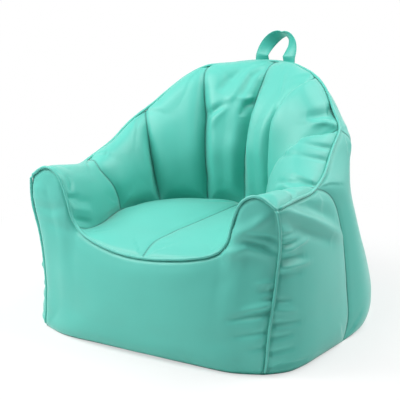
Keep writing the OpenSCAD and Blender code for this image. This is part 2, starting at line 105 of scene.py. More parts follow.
class Part(Enum):
    """Where a panel lies on the chair."""

    WALL = "wall"
    SEAT = "seat"
    BACK = "back"
    ARM = "arm"


class Facing(Enum):
    """The two axes that a fold's path is given in: those that the panel faces across."""

    FRONT = (0, 2)
    SIDE = (1, 2)
    TOP = (0, 1)


# ---- grids read from the CAD nodes


def spline_weights(count: int, samples: int) -> Array:
    """Weights of a natural cubic spline through evenly spaced values.

    Args:
        count: How many values the spline passes through.
        samples: How many evenly spaced points to take from it, both ends included.

    Returns:
        A matrix of samples by count. Its product with the values gives the points.
    """
    slopes = np.zeros((count, count))
    if count > 2:
        inner = np.eye(count) * 4
        inner[0, 0] = inner[-1, -1] = 1
        second = np.zeros((count, count))
        for k in range(1, count - 1):
            inner[k, k - 1] = inner[k, k + 1] = 1
            second[k, k - 1:k + 2] = (6, -12, 6)
        slopes = np.linalg.solve(inner, second)
    at = np.linspace(0, count - 1, samples)
    cell = np.minimum(at.astype(int), count - 2)
    t = (at - cell)[:, None]
    eye = np.eye(count)
    straight = (1 - t) * eye[cell] + t * eye[cell + 1]
    bend = ((1 - t) ** 3 - (1 - t)) * slopes[cell] + (t ** 3 - t) * slopes[cell + 1]
    return straight + bend / 6


def sheets_of(node: str, thin: float) -> list[Array]:
    """The two faces of a CAD panel, as grids of points.

    Args:
        node: The CAD node, a slab between two grids of triangles.
        thin: Triangles lower than this, in metres, belong to the rim between the two faces.

    Returns:
        One array of rows by columns by 3 for each face.
    """
    bm = bmesh.new()
    bm.from_mesh(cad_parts[node].data)
    bmesh.ops.remove_doubles(bm, verts=bm.verts, dist=WELD)
    rim = [f for f in bm.faces if 2 * f.calc_area() / max(e.calc_length() for e in f.edges) < thin]
    bmesh.ops.delete(bm, geom=rim, context="FACES")
    bm.faces.index_update()
    left = set(bm.faces)
    grids = []
    while left:
        island = island_of(min(left, key=lambda face: face.index))
        left -= island
        if len(island) > FEWEST_CELLS:
            grids.append(grid_of(sorted(island, key=lambda face: face.index)))
    bm.free()
    return grids


def island_of(start: bmesh.types.BMFace) -> set[bmesh.types.BMFace]:
    """All faces joined to start by shared edges.

    Args:
        start: Any face of the island.

    Returns:
        The faces, start among them.
    """
    found = {start}
    queue = deque([start])
    while queue:
        for edge in queue.popleft().edges:
            for face in edge.link_faces:
                if face not in found:
                    found.add(face)
                    queue.append(face)
    return found


def grid_of(island: list[bmesh.types.BMFace]) -> Array:
    """Reads a sheet of triangles back as the grid that it was made from.

    Every cell is split along the same diagonal, so the corner across an edge is always the sum of the
    edge's ends less the near corner, in grid places.

    Args:
        island: The sheet's triangles, in a fixed order.

    Returns:
        The grid's points, rows by columns by 3.
    """
    corner_face, corner = next((f, v) for f in island for v in f.verts if len(v.link_faces) == 1)
    others = [v for v in corner_face.verts if v != corner]
    place = {corner: (0, 0), others[0]: (1, 0), others[1]: (0, 1)}
    queue = deque([corner_face])
    seen = {corner_face}
    while queue:
        face = queue.popleft()
        for edge in face.edges:
            for other in edge.link_faces:
                if other in seen:
                    continue
                seen.add(other)
                queue.append(other)
                a, b = (place[v] for v in edge.verts)
                near = next(v for v in face.verts if v not in edge.verts)
                far = next(v for v in other.verts if v not in edge.verts)
                place[far] = (a[0] + b[0] - place[near][0], a[1] + b[1] - place[near][1])
    columns = sorted({p[0] for p in place.values()})
    rows = sorted({p[1] for p in place.values()})
    grid = np.zeros((len(rows), len(columns), 3))
    for vert, (i, j) in place.items():
        grid[j - rows[0], i - columns[0]] = vert.co
    return grid


def matched(grid: Array, like: Array) -> Array:
    """Turns a grid round until its points lie opposite those of another.

    Args:
        grid: Points, rows by columns by 3.
        like: The other grid.

    Returns:
        The same points in the order of the other grid.
    """
    turned = [grid, grid.transpose(1, 0, 2)]
    turned += [one[::-1] for one in turned]
    turned += [one[:, ::-1] for one in turned]
    fitting = [one for one in turned if one.shape == like.shape]
    return min(fitting, key=lambda one: np.linalg.norm(one - like, axis=2).sum())


def smooth_grid(grid: Array, spacing: float) -> Array:
    """Samples a grid finely along smooth curves through its points.

    Args:
        grid: Points, rows by columns by 3.
        spacing: The distance wanted between neighbours, in metres.

    Returns:
        The finer grid.
    """
    down = np.linalg.norm(np.diff(grid, axis=0), axis=2).sum(axis=0).max()
    across = np.linalg.norm(np.diff(grid, axis=1), axis=2).sum(axis=1).max()
    rows = spline_weights(grid.shape[0], max(grid.shape[0], round(down / spacing) + 1))
    columns = spline_weights(grid.shape[1], max(grid.shape[1], round(across / spacing) + 1))
    return np.einsum("ri,ijk,cj->rck", rows, grid, columns)


# ---- helpers on points and meshes


def tree_of(*nodes: str) -> BVHTree:
    """A search tree over the surfaces of some CAD nodes.

    Args:
        nodes: Names of CAD nodes.

    Returns:
        One tree over all of them.
    """
    bm = bmesh.new()
    for node in nodes:
        bm.from_mesh(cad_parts[node].data)
    tree = BVHTree.FromBMesh(bm)
    bm.free()
    return tree


def distances(points: Array, tree: BVHTree) -> Array:
    """Distance from each point to a surface.

    Args:
        points: Points, any shape by 3.
        tree: The surface.

    Returns:
        The distances in metres, one per point.
    """
    return np.array([tree.find_nearest(Vector(p))[3] for p in points.reshape(-1, 3)])


def unit(vectors: Array) -> Array:
    """The vectors at length one.

    Args:
        vectors: Vectors, any shape by 3.

    Returns:
        The same shape.
    """
    return vectors / np.maximum(np.linalg.norm(vectors, axis=-1, keepdims=True), 1e-12)


def nearest(points: Array, among: Array) -> tuple[Array, Array]:
    """Distance from each point to the nearest of some others, and which one that is.

    Args:
        points: Points by 3.
        among: The other points, by 3.

    Returns:
        The distances in metres, and places among the others.
    """
    tree = KDTree(len(among))
    for place, point in enumerate(among):
        tree.insert(Vector(point), place)
    tree.balance()
    found = [tree.find(Vector(p)) for p in points]
    return np.array([f[2] for f in found]), np.array([f[1] for f in found])


def value_noise(at: Array, seed: int) -> Array:
    """Smooth noise between -1 and 1 along a line.

    Args:
        at: Places along the line, where 1 is the width of one wave.
        seed: Which noise.

    Returns:
        One value per place.
    """
    table = np.random.default_rng(seed).uniform(-1, 1, NOISE_CELLS)
    cell = np.floor(at).astype(int)
    t = eased_step(at - cell)
    return table[cell % NOISE_CELLS] * (1 - t) + table[(cell + 1) % NOISE_CELLS] * t


def eased_step(values: Array) -> Array:
    """Turns 0..1 into a smooth 0..1, and holds it outside.

    Args:
        values: Any numbers.

    Returns:
        The same shape, from 0 to 1.
    """
    t = np.clip(values, 0, 1)
    return t * t * (3 - 2 * t)


def grid_faces(rows: int, columns: int) -> list[tuple[int, int, int, int]]:
    """The cells of a grid of points, row by row.

    Args:
        rows: How many rows of points.
        columns: How many points in a row.

    Returns:
        Four point numbers for each cell.
    """
    return [
        (j * columns + i, j * columns + i + 1, (j + 1) * columns + i + 1, (j + 1) * columns + i)
        for j in range(rows - 1)
        for i in range(columns - 1)
    ]


def ring_of(rows: int, columns: int) -> list[int]:
    """The points round the edge of a grid, in order.

    Args:
        rows: How many rows of points.
        columns: How many points in a row.

    Returns:
        Point numbers, each once.
    """
    bottom = list(range(columns))
    right = [j * columns + columns - 1 for j in range(1, rows)]
    top = [(rows - 1) * columns + i for i in range(columns - 2, -1, -1)]
    left = [j * columns for j in range(rows - 2, 0, -1)]
    return bottom + right + top + left


def linked(name: str, data: bpy.types.ID) -> Object:
    """Makes an object and links it to the scene.

    Args:
        name: The object's name.
        data: Its mesh, light or camera.

    Returns:
        The object, at the origin.
    """
    obj = bpy.data.objects.new(name, data)
    bpy.context.scene.collection.objects.link(obj)
    return obj


def shaded_smooth(mesh: bpy.types.Mesh) -> bpy.types.Mesh:
    """Shades every face of a mesh smoothly.

    Args:
        mesh: Any mesh.

    Returns:
        The same mesh.
    """
    mesh.polygons.foreach_set("use_smooth", [True] * len(mesh.polygons))
    mesh.update()
    return mesh


def new_object(name: str, points: Array, faces: Sequence[Sequence[int]],
               flip: bool = False) -> Object:
    """Makes a smooth-shaded mesh object at the origin.

    Args:
        name: The object's name.
        points: Its points in metres.
        faces: Point numbers of each face.
        flip: Whether the faces are turned the other way round.

    Returns:
        The object, linked to the scene.
    """
    mesh = bpy.data.meshes.new(name)
    mesh.from_pydata(points.reshape(-1, 3).tolist(), [], [face[::-1] for face in faces] if flip else faces)
    return linked(name, shaded_smooth(mesh))


def vectors(items: bpy.types.bpy_prop_collection, name: str) -> Array:
    """Reads one vector from each item of a mesh.

    Args:
        items: The mesh's vertices or vertex normals.
        name: What the vector is called there.

    Returns:
        An array of items by 3.
    """
    values = np.zeros(len(items) * 3, np.float32)
    items.foreach_get(name, values)
    return values.reshape(-1, 3).astype(float)


def points_of(mesh: bpy.types.Mesh) -> Array:
    """The points of a mesh.

    Args:
        mesh: Any mesh.

    Returns:
        An array of points by 3.
    """
    return vectors(mesh.vertices, "co")


def move_points(mesh: bpy.types.Mesh, points: Array) -> None:
    """Writes new places into a mesh.

    Args:
        mesh: The mesh.
        points: One place per point.
    """
    mesh.vertices.foreach_set("co", points.astype(np.float32).ravel())
    mesh.update()


def corners(node: str) -> tuple[Array, Array]:
    """The lowest and the highest corner of a CAD node's box.

    Args:
        node: The CAD node.

    Returns:
        Both corners in metres.
    """
    low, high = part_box(node)
    return np.array(low), np.array(high)


def circle(sides: int) -> tuple[Array, Array]:
    """Even turns once round.

    Args:
        sides: How many.

    Returns:
        The cosine and the sine of each.
    """
    turn = np.linspace(0, 2 * np.pi, sides, endpoint=False)
    return np.cos(turn), np.sin(turn)


def blurred(ring: Array, rounds: int) -> Array:
    """Evens out values round a closed ring.

    Args:
        ring: One value per place.
        rounds: How often each value takes the mean with its two neighbours.

    Returns:
        The smoother values.
    """
    for _ in range(rounds):
        ring = (np.roll(ring, 1) + ring + np.roll(ring, -1)) / 3
    return ring


def closed_tube(rings: Array) -> list[tuple[int, ...]]:
    """The faces of a tube through rings of points, with both ends closed.

    Args:
        rings: Rings by points by 3.

    Returns:
        Point numbers of each face.
    """
    count, sides = rings.shape[:2]
    faces = [
        (k * sides + s, (k + 1) * sides + s, (k + 1) * sides + (s + 1) % sides, k * sides + (s + 1) % sides)
        for k in range(count - 1)
        for s in range(sides)
    ]
    last = (count - 1) * sides
    return [*faces, tuple(range(sides)), tuple(range(last + sides - 1, last - 1, -1))]


def subdivide(obj: Object) -> None:
    """Applies one level of smooth subdivision.

    Args:
        obj: A mesh object.
    """
    modifier = obj.modifiers.new("Smooth", "SUBSURF")
    modifier.levels = modifier.render_levels = 1
    modifier.boundary_smooth = "PRESERVE_CORNERS"
    made = bpy.data.meshes.new_from_object(obj.evaluated_get(bpy.context.evaluated_depsgraph_get()))
    obj.modifiers.remove(modifier)
    old = obj.data
    obj.data = made
    made.name = obj.name
    bpy.data.meshes.remove(old)


# ---- cover panels


@dataclass
class Bag:
    """The bead-filled bag inside the cover, which tells every piece which way is in."""

    node: str
    surface: BVHTree = field(init=False)
    filling: Array = field(init=False)

    STEP = 60 * MM
    BLUR = 45 * MM
    FALL = 2.5
    CHUNK = 500

    def __post_init__(self) -> None:
        """Spreads points evenly inside the CAD node."""
        self.surface = tree_of(self.node)
        axes = [np.arange(low + self.STEP / 2, high, self.STEP) for low, high in zip(*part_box(self.node))]
        lattice = np.stack(np.meshgrid(*axes, indexing="ij"), axis=-1).reshape(-1, 3)
        feet = [self.surface.find_nearest(Vector(point)) for point in lattice]
        inside = [(Vector(point) - foot[0]).dot(foot[1]) < 0 for point, foot in zip(lattice, feet)]
        self.filling = lattice[inside]

    def inward(self, points: Array) -> Array:
        """The direction from each point into the bag, which turns gently from place to place.

        Args:
            points: Points by 3.

        Returns:
            One direction of length one per point.
        """
        ways = np.zeros(points.shape)
        for start in range(0, len(points), self.CHUNK):
            part = slice(start, start + self.CHUNK)
            gaps = self.filling[None] - points[part, None]
            weights = 1 / (np.sum(gaps ** 2, axis=2) + self.BLUR ** 2) ** self.FALL
            ways[part] = np.einsum("pq,pqk->pk", weights, gaps)
        return unit(ways)


@dataclass(frozen=True)
class Push:
    """A broad soft shift of the cloth about one place.

    The centre is given in shares of a box, the reach and the way in metres.
    """

    centre: tuple[float, float, float]
    reach: float
    way: tuple[float, float, float]


def pushed(points: Array, pushes: Sequence[Push], low: Array, high: Array) -> Array:
    """How far some pushes together move each point.

    Args:
        points: Points by 3.
        pushes: The pushes.
        low: The lowest corner of their box.
        high: Its highest corner.

    Returns:
        Shifts by 3.
    """
    total = np.zeros(points.shape)
    for push in pushes:
        gap = np.linalg.norm(points - (low + np.array(push.centre) * (high - low)), axis=1)
        total += np.exp(-(gap / push.reach) ** 2)[:, None] * np.array(push.way)
    return total


# How the filled chair has settled: each centre is given in shares of the whole cover's box
SETTLED = (
    Push((0.08, 0.06, 0.24), 200 * MM, (0.020, 0.014, 0.0)),
    Push((0.08, 0.06, 0.58), 60 * MM, (-0.002, 0.004, -0.004)),
    Push((0.12, 0.26, 0.59), 140 * MM, (0.0, 0.0, -0.019)),
    Push((0.60, 0.03, 0.36), 160 * MM, (0.0, 0.0, 0.008)),
    Push((0.91, 0.05, 0.42), 150 * MM, (0.001, 0.033, 0.0)),
    Push((0.67, 0.72, 0.76), 120 * MM, (-0.026, -0.016, 0.0)),
    Push((0.81, 0.60, 0.62), 120 * MM, (-0.022, -0.006, 0.022)),
    Push((0.87, 0.68, 0.77), 62 * MM, (0.015, 0.007, 0.0)),
    Push((0.20, 0.68, 0.80), 80 * MM, (0.004, 0.0, -0.012)),
    Push((0.31, 0.81, 0.92), 60 * MM, (-0.006, 0.0, 0.008)),
    Push((0.77, 0.62, 0.45), 110 * MM, (-0.032, -0.017, 0.005)),
)


@dataclass
class Slump:
    """Moves every piece alike, as the beads settle and the foot of the cover draws in.

    The shifts fade out below LOW. The foot draws in by FOOT, more in some places than in others.
    """

    bag: Bag
    hem: Array

    FOOT = 2 * MM
    FOOT_REACH = 36 * MM
    FOOT_WAVE = 52 * MM
    UNEVEN = 0.4
    LOW = 60 * MM

    def settled(self, points: Array) -> Array:
        """Where some points of the chair come to lie.

        Args:
            points: Points by 3.

        Returns:
            The moved points by 3.
        """
        boxes = np.array([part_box(plan.node) for plan in PANELS])
        shift = pushed(points, SETTLED, boxes[:, 0].min(axis=0), boxes[:, 1].max(axis=0))
        shift *= eased_step(points[:, 2] / self.LOW)[:, None]
        gap, _ = nearest(points, self.hem)
        ways = self.bag.inward(points)
        ways[:, 2] = 0
        wave = 1 + self.UNEVEN * value_noise((points[:, 0] - points[:, 1]) / self.FOOT_WAVE, Seed.FOOT)
        amount = self.FOOT * wave * (1 - eased_step(gap / self.FOOT_REACH))
        return points + shift + unit(ways) * amount[:, None]


@dataclass(frozen=True)
class Fold:
    """A ridge pressed into a panel along a path, or a crease where its height is below zero.

    The path is given in shares of the panel's CAD box, along the two axes that the panel faces across, and
    the height and the width in millimetres.
    """

    path: tuple[tuple[float, float], ...]
    height: float
    width: float

    ENDS = 0.02
    BLUNTNESS = 0.7

    def press(self, points: Array, low: Array, size: Array, facing: Facing) -> Array:
        """How far this fold lifts each point, in metres.

        Args:
            points: The panel's points.
            low: The lowest corner of the panel's box.
            size: The size of the panel's box.
            facing: The axes of the path.

        Returns:
            One height per point, below zero in a crease.
        """
        axes = list(facing.value)
        flat = points[:, axes]
        ends = low[axes] + np.array(self.path) * size[axes]
        lengths = np.linalg.norm(np.diff(ends, axis=0), axis=1)
        best = np.full(len(flat), np.inf)
        along = np.zeros(len(flat))
        done = 0.0
        for start, end, length in zip(ends[:-1], ends[1:], lengths):
            way = (end - start) / length
            t = np.clip((flat - start) @ way, 0, length)
            gap = np.linalg.norm(flat - start - t[:, None] * way, axis=1)
            near = gap < best
            best[near] = gap[near]
            along[near] = (done + t[near]) / lengths.sum()
            done += length
        fade = np.sin(np.pi * np.clip(along, self.ENDS, 1 - self.ENDS)) ** self.BLUNTNESS
        return self.height * MM * fade * np.exp(-(best / (self.width * MM)) ** 2)


@dataclass(frozen=True)
class PanelPlan:
    """Where a cover panel lies, the seed of its puckers, and its own swellings and folds."""

    node: str
    part: Part
    facing: Facing
    seed: int
    pushes: tuple[Push, ...] = ()
    folds: tuple[Fold, ...] = ()


# How the cloth of a panel behaves while it swells
CLOTH = {
    "quality": 6,
    "mass": 0.25,
    "air_damping": 3,
    "tension_stiffness": 25,
    "compression_stiffness": 25,
    "shear_stiffness": 12,
    "bending_stiffness": 20,
    "tension_damping": 10,
    "compression_damping": 10,
    "shear_damping": 10,
    "bending_damping": 1,
    "vertex_group_mass": "pin",
    "pin_stiffness": 10,
    "shrink_min": -0.002,
    "use_pressure": True,
    "uniform_pressure_force": 3,
}


@dataclass
class Panel:
    """One sewn panel of the cover.

    Beside a seam the cloth is drawn in over SEAM_REACH and rolls up between ROLL_START and ROLL_TOP, then
    falls back over ROLL_FALL. The puckers fade out over PUCKER_REACH, and over MORE_REACH at the most
    besides.
    """

    plan: PanelPlan
    shape: tuple[int, int] = (0, 0)
    kinds: list[SeamKind] = field(default_factory=list)
    edge: Array | None = None
    depths: Array | None = None
    rolls: Array | None = None
    obj: Object | None = None

    SPACING = 8 * MM
    ALLOWANCE = 9 * MM
    CAP = 24 * MM
    EASING = 40
    ROLL_EASING = 4
    UPRIGHT_EASING = 6
    SEAM_REACH = 16 * MM
    REACH_PER_DEPTH = 2.4
    ROLL_START = 3 * MM
    ROLL_RISE = 11 * MM
    ROLL_TOP = 24 * MM
    ROLL_FALL = 70 * MM
    SWELL_RISE = 48 * MM
    FOLD_RISE = 8 * MM
    PUCKER = 1.2 * MM
    LEVEL_SHARE = 0.25
    PUCKER_RISE = 6 * MM
    PUCKER_REACH = 14 * MM
    MORE_REACH = 26 * MM
    REACH_WAVE = 50 * MM
    FINE_WAVE = 15 * MM
    BROAD_WAVE = 37 * MM
    # How far from a seam the painted shade in the seam creases reaches
    SEAM_SHADE_REACH = 9 * MM
    RIM_REACH = 230 * MM

    def cut(self, bag: Bag, piping: dict[str, BVHTree]) -> None:
        """Cuts the panel from the outer sheet of its CAD node.

        Args:
            bag: The bag inside, which tells the outer sheet from the inner.
            piping: The surface of each run of piping, which tells the kind of each seam.
        """
        sheets = sheets_of(self.plan.node, SHEET_RIM)
        inner, outer = sorted(sheets, key=lambda sheet: distances(sheet, bag.surface).mean())
        row, column = (count // 2 for count in outer.shape[:2])
        face = np.cross(outer[row, -1] - outer[row, 0], outer[-1, column] - outer[0, column])
        if face @ (outer.mean(axis=(0, 1)) - inner.mean(axis=(0, 1))) < 0:
            outer = outer[:, ::-1]
        grid = smooth_grid(outer, self.SPACING)
        self.shape = grid.shape[:2]
        self.edge = grid.reshape(-1, 3)[ring_of(*self.shape)]
        gaps = np.min([distances(self.edge, tree) for tree in piping.values()], axis=0)
        self.kinds = [
            SeamKind.PIPED if gap < PIPED_GAP else SeamKind.BASE if point[2] < ON_FLOOR else SeamKind.PLAIN
            for gap, point in zip(gaps, self.edge)
        ]
        self.obj = new_object(self.plan.node + "_cloth", grid, grid_faces(*self.shape))

    def set_rolls(self, beside: Sequence[Part], piping: dict[str, BVHTree]) -> list[float]:
        """Works out how far the cloth rolls up beside each point of the edge.

        Args:
            beside: The part of the nearest other panel, for each point of the edge.
            piping: The surface of each run of piping, by its node.

        Returns:
            How deep each point of the edge is drawn in.
        """
        part = self.plan.part
        to_piping = np.array([distances(self.edge, tree) for tree in piping.values()])
        cords = [list(piping)[k] for k in to_piping.argmin(axis=0)]
        shares = eased_step(to_piping.min(axis=0) / self.RIM_REACH)
        depths = []
        rolls = []
        for kind, other, cord, share in zip(self.kinds, beside, cords, shares):
            depth = SEAM_DEPTHS.get(frozenset({part, other}), PIPED_SINK)
            if part == other == Part.BACK:
                depth = PIPED_SINK + (depth - PIPED_SINK) * share
            depths.append({SeamKind.PIPED: PIPED_SINK, SeamKind.BASE: 0.0}.get(kind, depth))
            across = {SeamKind.PIPED: cord, SeamKind.BASE: kind}.get(kind, other)
            rolls.append(ROLLS.get((part, across), 0.0))
        self.rolls = blurred(np.array(rolls), self.ROLL_EASING)
        return depths

    def draw_in(self, bag: Bag, slump: Slump) -> None:
        """Sinks the seams into the bag, rolls the cloth up beside them and adds the pushes.

        Args:
            bag: The bag inside.
            slump: How the chair has settled.
        """
        points = points_of(self.obj.data)
        gap, near = nearest(points, points[ring_of(*self.shape)])
        depth = self.depths[near]
        pull = depth * (1 - eased_step(gap / (self.SEAM_REACH + self.REACH_PER_DEPTH * depth))) ** 2
        rise = eased_step((gap - self.ROLL_START) / self.ROLL_RISE)
        pull -= self.rolls[near] * rise * (1 - eased_step((gap - self.ROLL_TOP) / self.ROLL_FALL))
        swell = pushed(points, self.plan.pushes, *corners(self.plan.node))
        swell *= eased_step(gap / self.SWELL_RISE)[:, None]
        move_points(self.obj.data, slump.settled(points) + bag.inward(points) * pull[:, None] + swell)

    def add_cloth(self) -> None:
        """Adds the cloth simulation, which holds the seams and lets the rest swell."""
        pins = self.obj.vertex_groups.new(name="pin")
        pins.add(ring_of(*self.shape), 1.0, "REPLACE")
        cloth = self.obj.modifiers.new("Cloth", "CLOTH")
        for name, value in CLOTH.items():
            setattr(cloth.settings, name, value)
        cloth.settings.effector_weights.gravity = 0
        cloth.collision_settings.use_collision = False
        cloth.collision_settings.use_self_collision = False
        cloth.point_cache.frame_start = 1
        cloth.point_cache.frame_end = FRAMES

    def take_cloth(self, swollen: Array) -> None:
        """Takes the simulated shape without its finest ripples.

        The cloth moves freely up to half of CAP, and ever less towards CAP beyond that.

        Args:
            swollen: The simulated points.
        """
        start = points_of(self.obj.data)
        moved = (swollen - start).reshape(*self.shape, 3)
        for _ in range(self.EASING):
            moved[1:-1, 1:-1] = (moved[1:-1, 1:-1] + moved[:-2, 1:-1] + moved[2:, 1:-1]
                                 + moved[1:-1, :-2] + moved[1:-1, 2:]) / 5
        moved = moved.reshape(-1, 3)
        length = np.linalg.norm(moved, axis=1, keepdims=True)
        half = self.CAP / 2
        capped = half + half * (1 - np.exp(-np.maximum(length - half, 0) / half))
        moved *= np.where(length > half, capped / np.maximum(length, 1e-9), 1)
        self.obj.modifiers.clear()
        self.obj.vertex_groups.clear()
        move_points(self.obj.data, start + moved)

    def finish(self, bag: Bag) -> None:
        """Refines the panel, presses its folds and puckers in, marks where painted shade darkens its seams
        and turns its edges under.

        Args:
            bag: The bag inside.
        """
        edge = points_of(self.obj.data)[ring_of(*self.shape)]
        subdivide(self.obj)
        points = points_of(self.obj.data)
        normals = vectors(self.obj.data.vertex_normals, "vector")
        low, high = corners(self.plan.node)
        gap, near = nearest(points, edge)
        lift = sum((fold.press(points, low, high - low, self.plan.facing) for fold in self.plan.folds),
                   np.zeros(len(points)))
        lift *= eased_step(gap / self.FOLD_RISE)
        lift += self.gathers(gap, near, edge)
        move_points(self.obj.data, points + normals * lift[:, None])
        # Mask of the painted shade in the seams: 1 at the edge, fading away from it; the cover material
        # darkens its colour by it
        seam_shade = self.obj.data.attributes.new("seam", "FLOAT", "POINT")
        seam_shade.data.foreach_set("value", np.exp(-(gap / self.SEAM_SHADE_REACH) ** 2).astype(np.float32))
        self.turn_under(bag)
        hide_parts(self.plan.node)
        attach(self.obj, CHAIR)

    def gathers(self, gap: Array, near: Array, edge: Array) -> Array:
        """Small puckers square to the seams, which die out away from them.

        Args:
            gap: Distance from each point to the edge.
            near: The nearest place in the edge.
            edge: The points of the edge, in order.

        Returns:
            How far each point is lifted.
        """
        ahead = np.roll(edge, -1, axis=0) - edge
        step = np.linalg.norm(ahead, axis=1)
        upright = blurred(np.abs(ahead[:, 2]) / step, self.UPRIGHT_EASING)
        along = np.concatenate([[0], np.cumsum(step)])[near]
        fine = value_noise(along / self.FINE_WAVE + 40, self.plan.seed)
        broad = value_noise(along / self.BROAD_WAVE, self.plan.seed + 1)
        more = np.abs(value_noise(along / self.REACH_WAVE + 7, self.plan.seed + 2))
        reach = self.PUCKER_REACH + self.MORE_REACH * more
        height = self.PUCKER * (self.LEVEL_SHARE + (1 - self.LEVEL_SHARE) * upright[near] ** 2)
        rise = eased_step(gap / self.PUCKER_RISE)
        return height * (0.5 * fine + 0.75 * broad) * rise * np.exp(-(gap / reach) ** 1.5)

    def turn_under(self, bag: Bag) -> None:
        """Turns the edges of the panel under, as the seam allowance of the sewn cover.

        Args:
            bag: The bag inside.
        """
        bm = bmesh.new()
        bm.from_mesh(self.obj.data)
        rim = [e for e in bm.edges if e.is_boundary]
        made = bmesh.ops.extrude_edge_only(bm, edges=rim)["geom"]
        folded = [v for v in made if isinstance(v, bmesh.types.BMVert)]
        points = np.array([v.co for v in folded])
        for vert, way in zip(folded, bag.inward(points)):
            flat = vert.co.z < ON_FLOOR
            vert.co += Vector((way[0], way[1], 0 if flat else way[2])) * self.ALLOWANCE
        bm.to_mesh(self.obj.data)
        bm.free()


# The folds that sitting has left in the cover; where a path starts outside its panel, it runs out of the seam
FRONT_FOLDS = (
    Fold(((0.83, 0.75), (0.90, 0.82), (0.99, 0.92)), 11, 18),
    Fold(((1.01, 0.93), (0.98, 0.82), (0.94, 0.70)), -14, 26),
    Fold(((0.88, 0.80), (0.97, 0.77), (1.05, 0.75)), -7.5, 8),
    Fold(((0.87, 0.76), (0.94, 0.73), (1.00, 0.69)), -7.5, 9),
    Fold(((0.79, 0.65), (0.89, 0.71), (0.98, 0.68)), 9, 14),
    Fold(((0.92, 0.52), (1.04, 0.54)), 5, 7),
    Fold(((0.93, 0.47), (1.04, 0.51)), -5.5, 7),
    Fold(((0.95, 0.43), (1.04, 0.46)), -6, 7),
    Fold(((0.88, 0.37), (1.05, 0.44)), 6, 9),
    Fold(((0.84, 0.31), (0.95, 0.36), (1.06, 0.40)), -9.5, 9),
    Fold(((0.86, 0.22), (0.96, 0.26), (1.04, 0.30)), -7, 9),
    Fold(((0.91, 0.15), (1.02, 0.20)), -5, 8),
    Fold(((0.02, 0.76), (0.10, 0.75), (0.17, 0.79)), -4, 16),
    Fold(((0.03, 0.69), (0.13, 0.66), (0.25, 0.64)), -3, 18),
)
RIGHT_SIDE_FOLDS = (
    Fold(((0.12, 1.00), (0.51, 0.93), (0.90, 0.78)), -11.5, 22),
    Fold(((0.00, 1.03), (0.25, 0.94), (0.60, 0.80), (1.02, 0.63)), 15.5, 20),
    Fold(((-0.02, 0.96), (0.30, 0.85), (0.75, 0.68)), -13, 20),
    Fold(((-0.06, 0.85), (0.07, 0.84), (0.26, 0.83)), -8, 8),
    Fold(((-0.06, 0.78), (0.09, 0.78), (0.25, 0.78)), -10.5, 8),
    Fold(((0.05, 0.74), (0.23, 0.76), (0.42, 0.77)), 8, 8),
    Fold(((-0.08, 0.70), (0.07, 0.69), (0.33, 0.68)), -11.5, 10),
    Fold(((-0.06, 0.64), (0.09, 0.65), (0.40, 0.63)), 9, 9),
    Fold(((-0.06, 0.62), (0.07, 0.61), (0.30, 0.58)), -6.5, 9),
    Fold(((-0.06, 0.47), (0.06, 0.46), (0.18, 0.44)), -6.5, 8),
    Fold(((-0.05, 0.42), (0.22, 0.37)), 5, 9),
    Fold(((-0.06, 0.32), (0.06, 0.32), (0.25, 0.30)), -8, 10),
    Fold(((-0.05, 0.24), (0.18, 0.24)), -6.5, 9),
    Fold(((-0.05, 0.15), (0.18, 0.16)), -6.5, 9),
    Fold(((-0.05, 0.03), (0.08, 0.06), (0.32, 0.04)), -9, 10),
)
REAR_FOLDS = (
    Fold(((-0.02, 0.20), (0.08, 0.22), (0.17, 0.20)), -5, 11),
    Fold(((-0.02, 0.11), (0.10, 0.13), (0.22, 0.11)), -6, 13),
    Fold(((1.02, 0.16), (0.90, 0.19), (0.80, 0.17)), -6, 12),
    Fold(((1.02, 0.26), (0.93, 0.28)), -4.5, 9),
    Fold(((0.36, 1.02), (0.39, 0.93), (0.38, 0.84)), -4, 12),
    Fold(((0.63, 1.02), (0.60, 0.92)), -4.5, 11),
)
LEFT_CHANNEL_FOLDS = (
    Fold(((0.66, 0.98), (0.49, 0.90), (0.40, 0.80)), -9, 17),
    Fold(((0.76, 0.98), (0.65, 0.79), (0.38, 0.55)), 7, 15),
    Fold(((0.66, 0.75), (0.44, 0.69), (0.14, 0.62)), -11.5, 13),
    Fold(((0.99, 1.00), (0.82, 0.92), (0.80, 0.77)), -8, 13),
    Fold(((1.06, 0.78), (0.90, 0.72), (0.86, 0.64)), -10.5, 11),
    Fold(((0.72, 0.78), (1.03, 0.76)), 4.5, 9),
)
RIGHT_OUTER_FOLDS = (
    Fold(((0.54, 0.78), (0.78, 0.81), (1.08, 0.77)), -16, 15),
    Fold(((0.62, 0.73), (0.84, 0.75), (1.04, 0.73)), 8, 10),
)
RIGHT_WING_FOLDS = (
    Fold(((0.56, 0.92), (0.78, 0.86)), -7, 9),
    Fold(((0.40, 0.84), (0.64, 0.75)), -6, 9),
    Fold(((0.00, 0.60), (0.11, 0.64), (0.27, 0.57)), -7.5, 8),
)
RIGHT_ARM_FOLDS = (
    Fold(((0.19, 1.06), (0.01, 0.84)), -11.5, 10),
    Fold(((0.58, 0.96), (0.36, 0.80)), -6.5, 10),
)
LEFT_ARM_FOLDS = (
    Fold(((-0.04, 0.58), (0.07, 0.55), (0.24, 0.50)), -7, 8),
    Fold(((0.03, 0.52), (0.38, 0.37)), -5, 10),
    Fold(((-0.06, 0.26), (0.08, 0.22), (0.32, 0.06)), -9, 9),
    Fold(((0.03, 0.40), (0.36, 0.22)), 5, 11),
    Fold(((0.14, 0.87), (0.16, 0.74), (0.08, 0.64)), -4, 10),
)
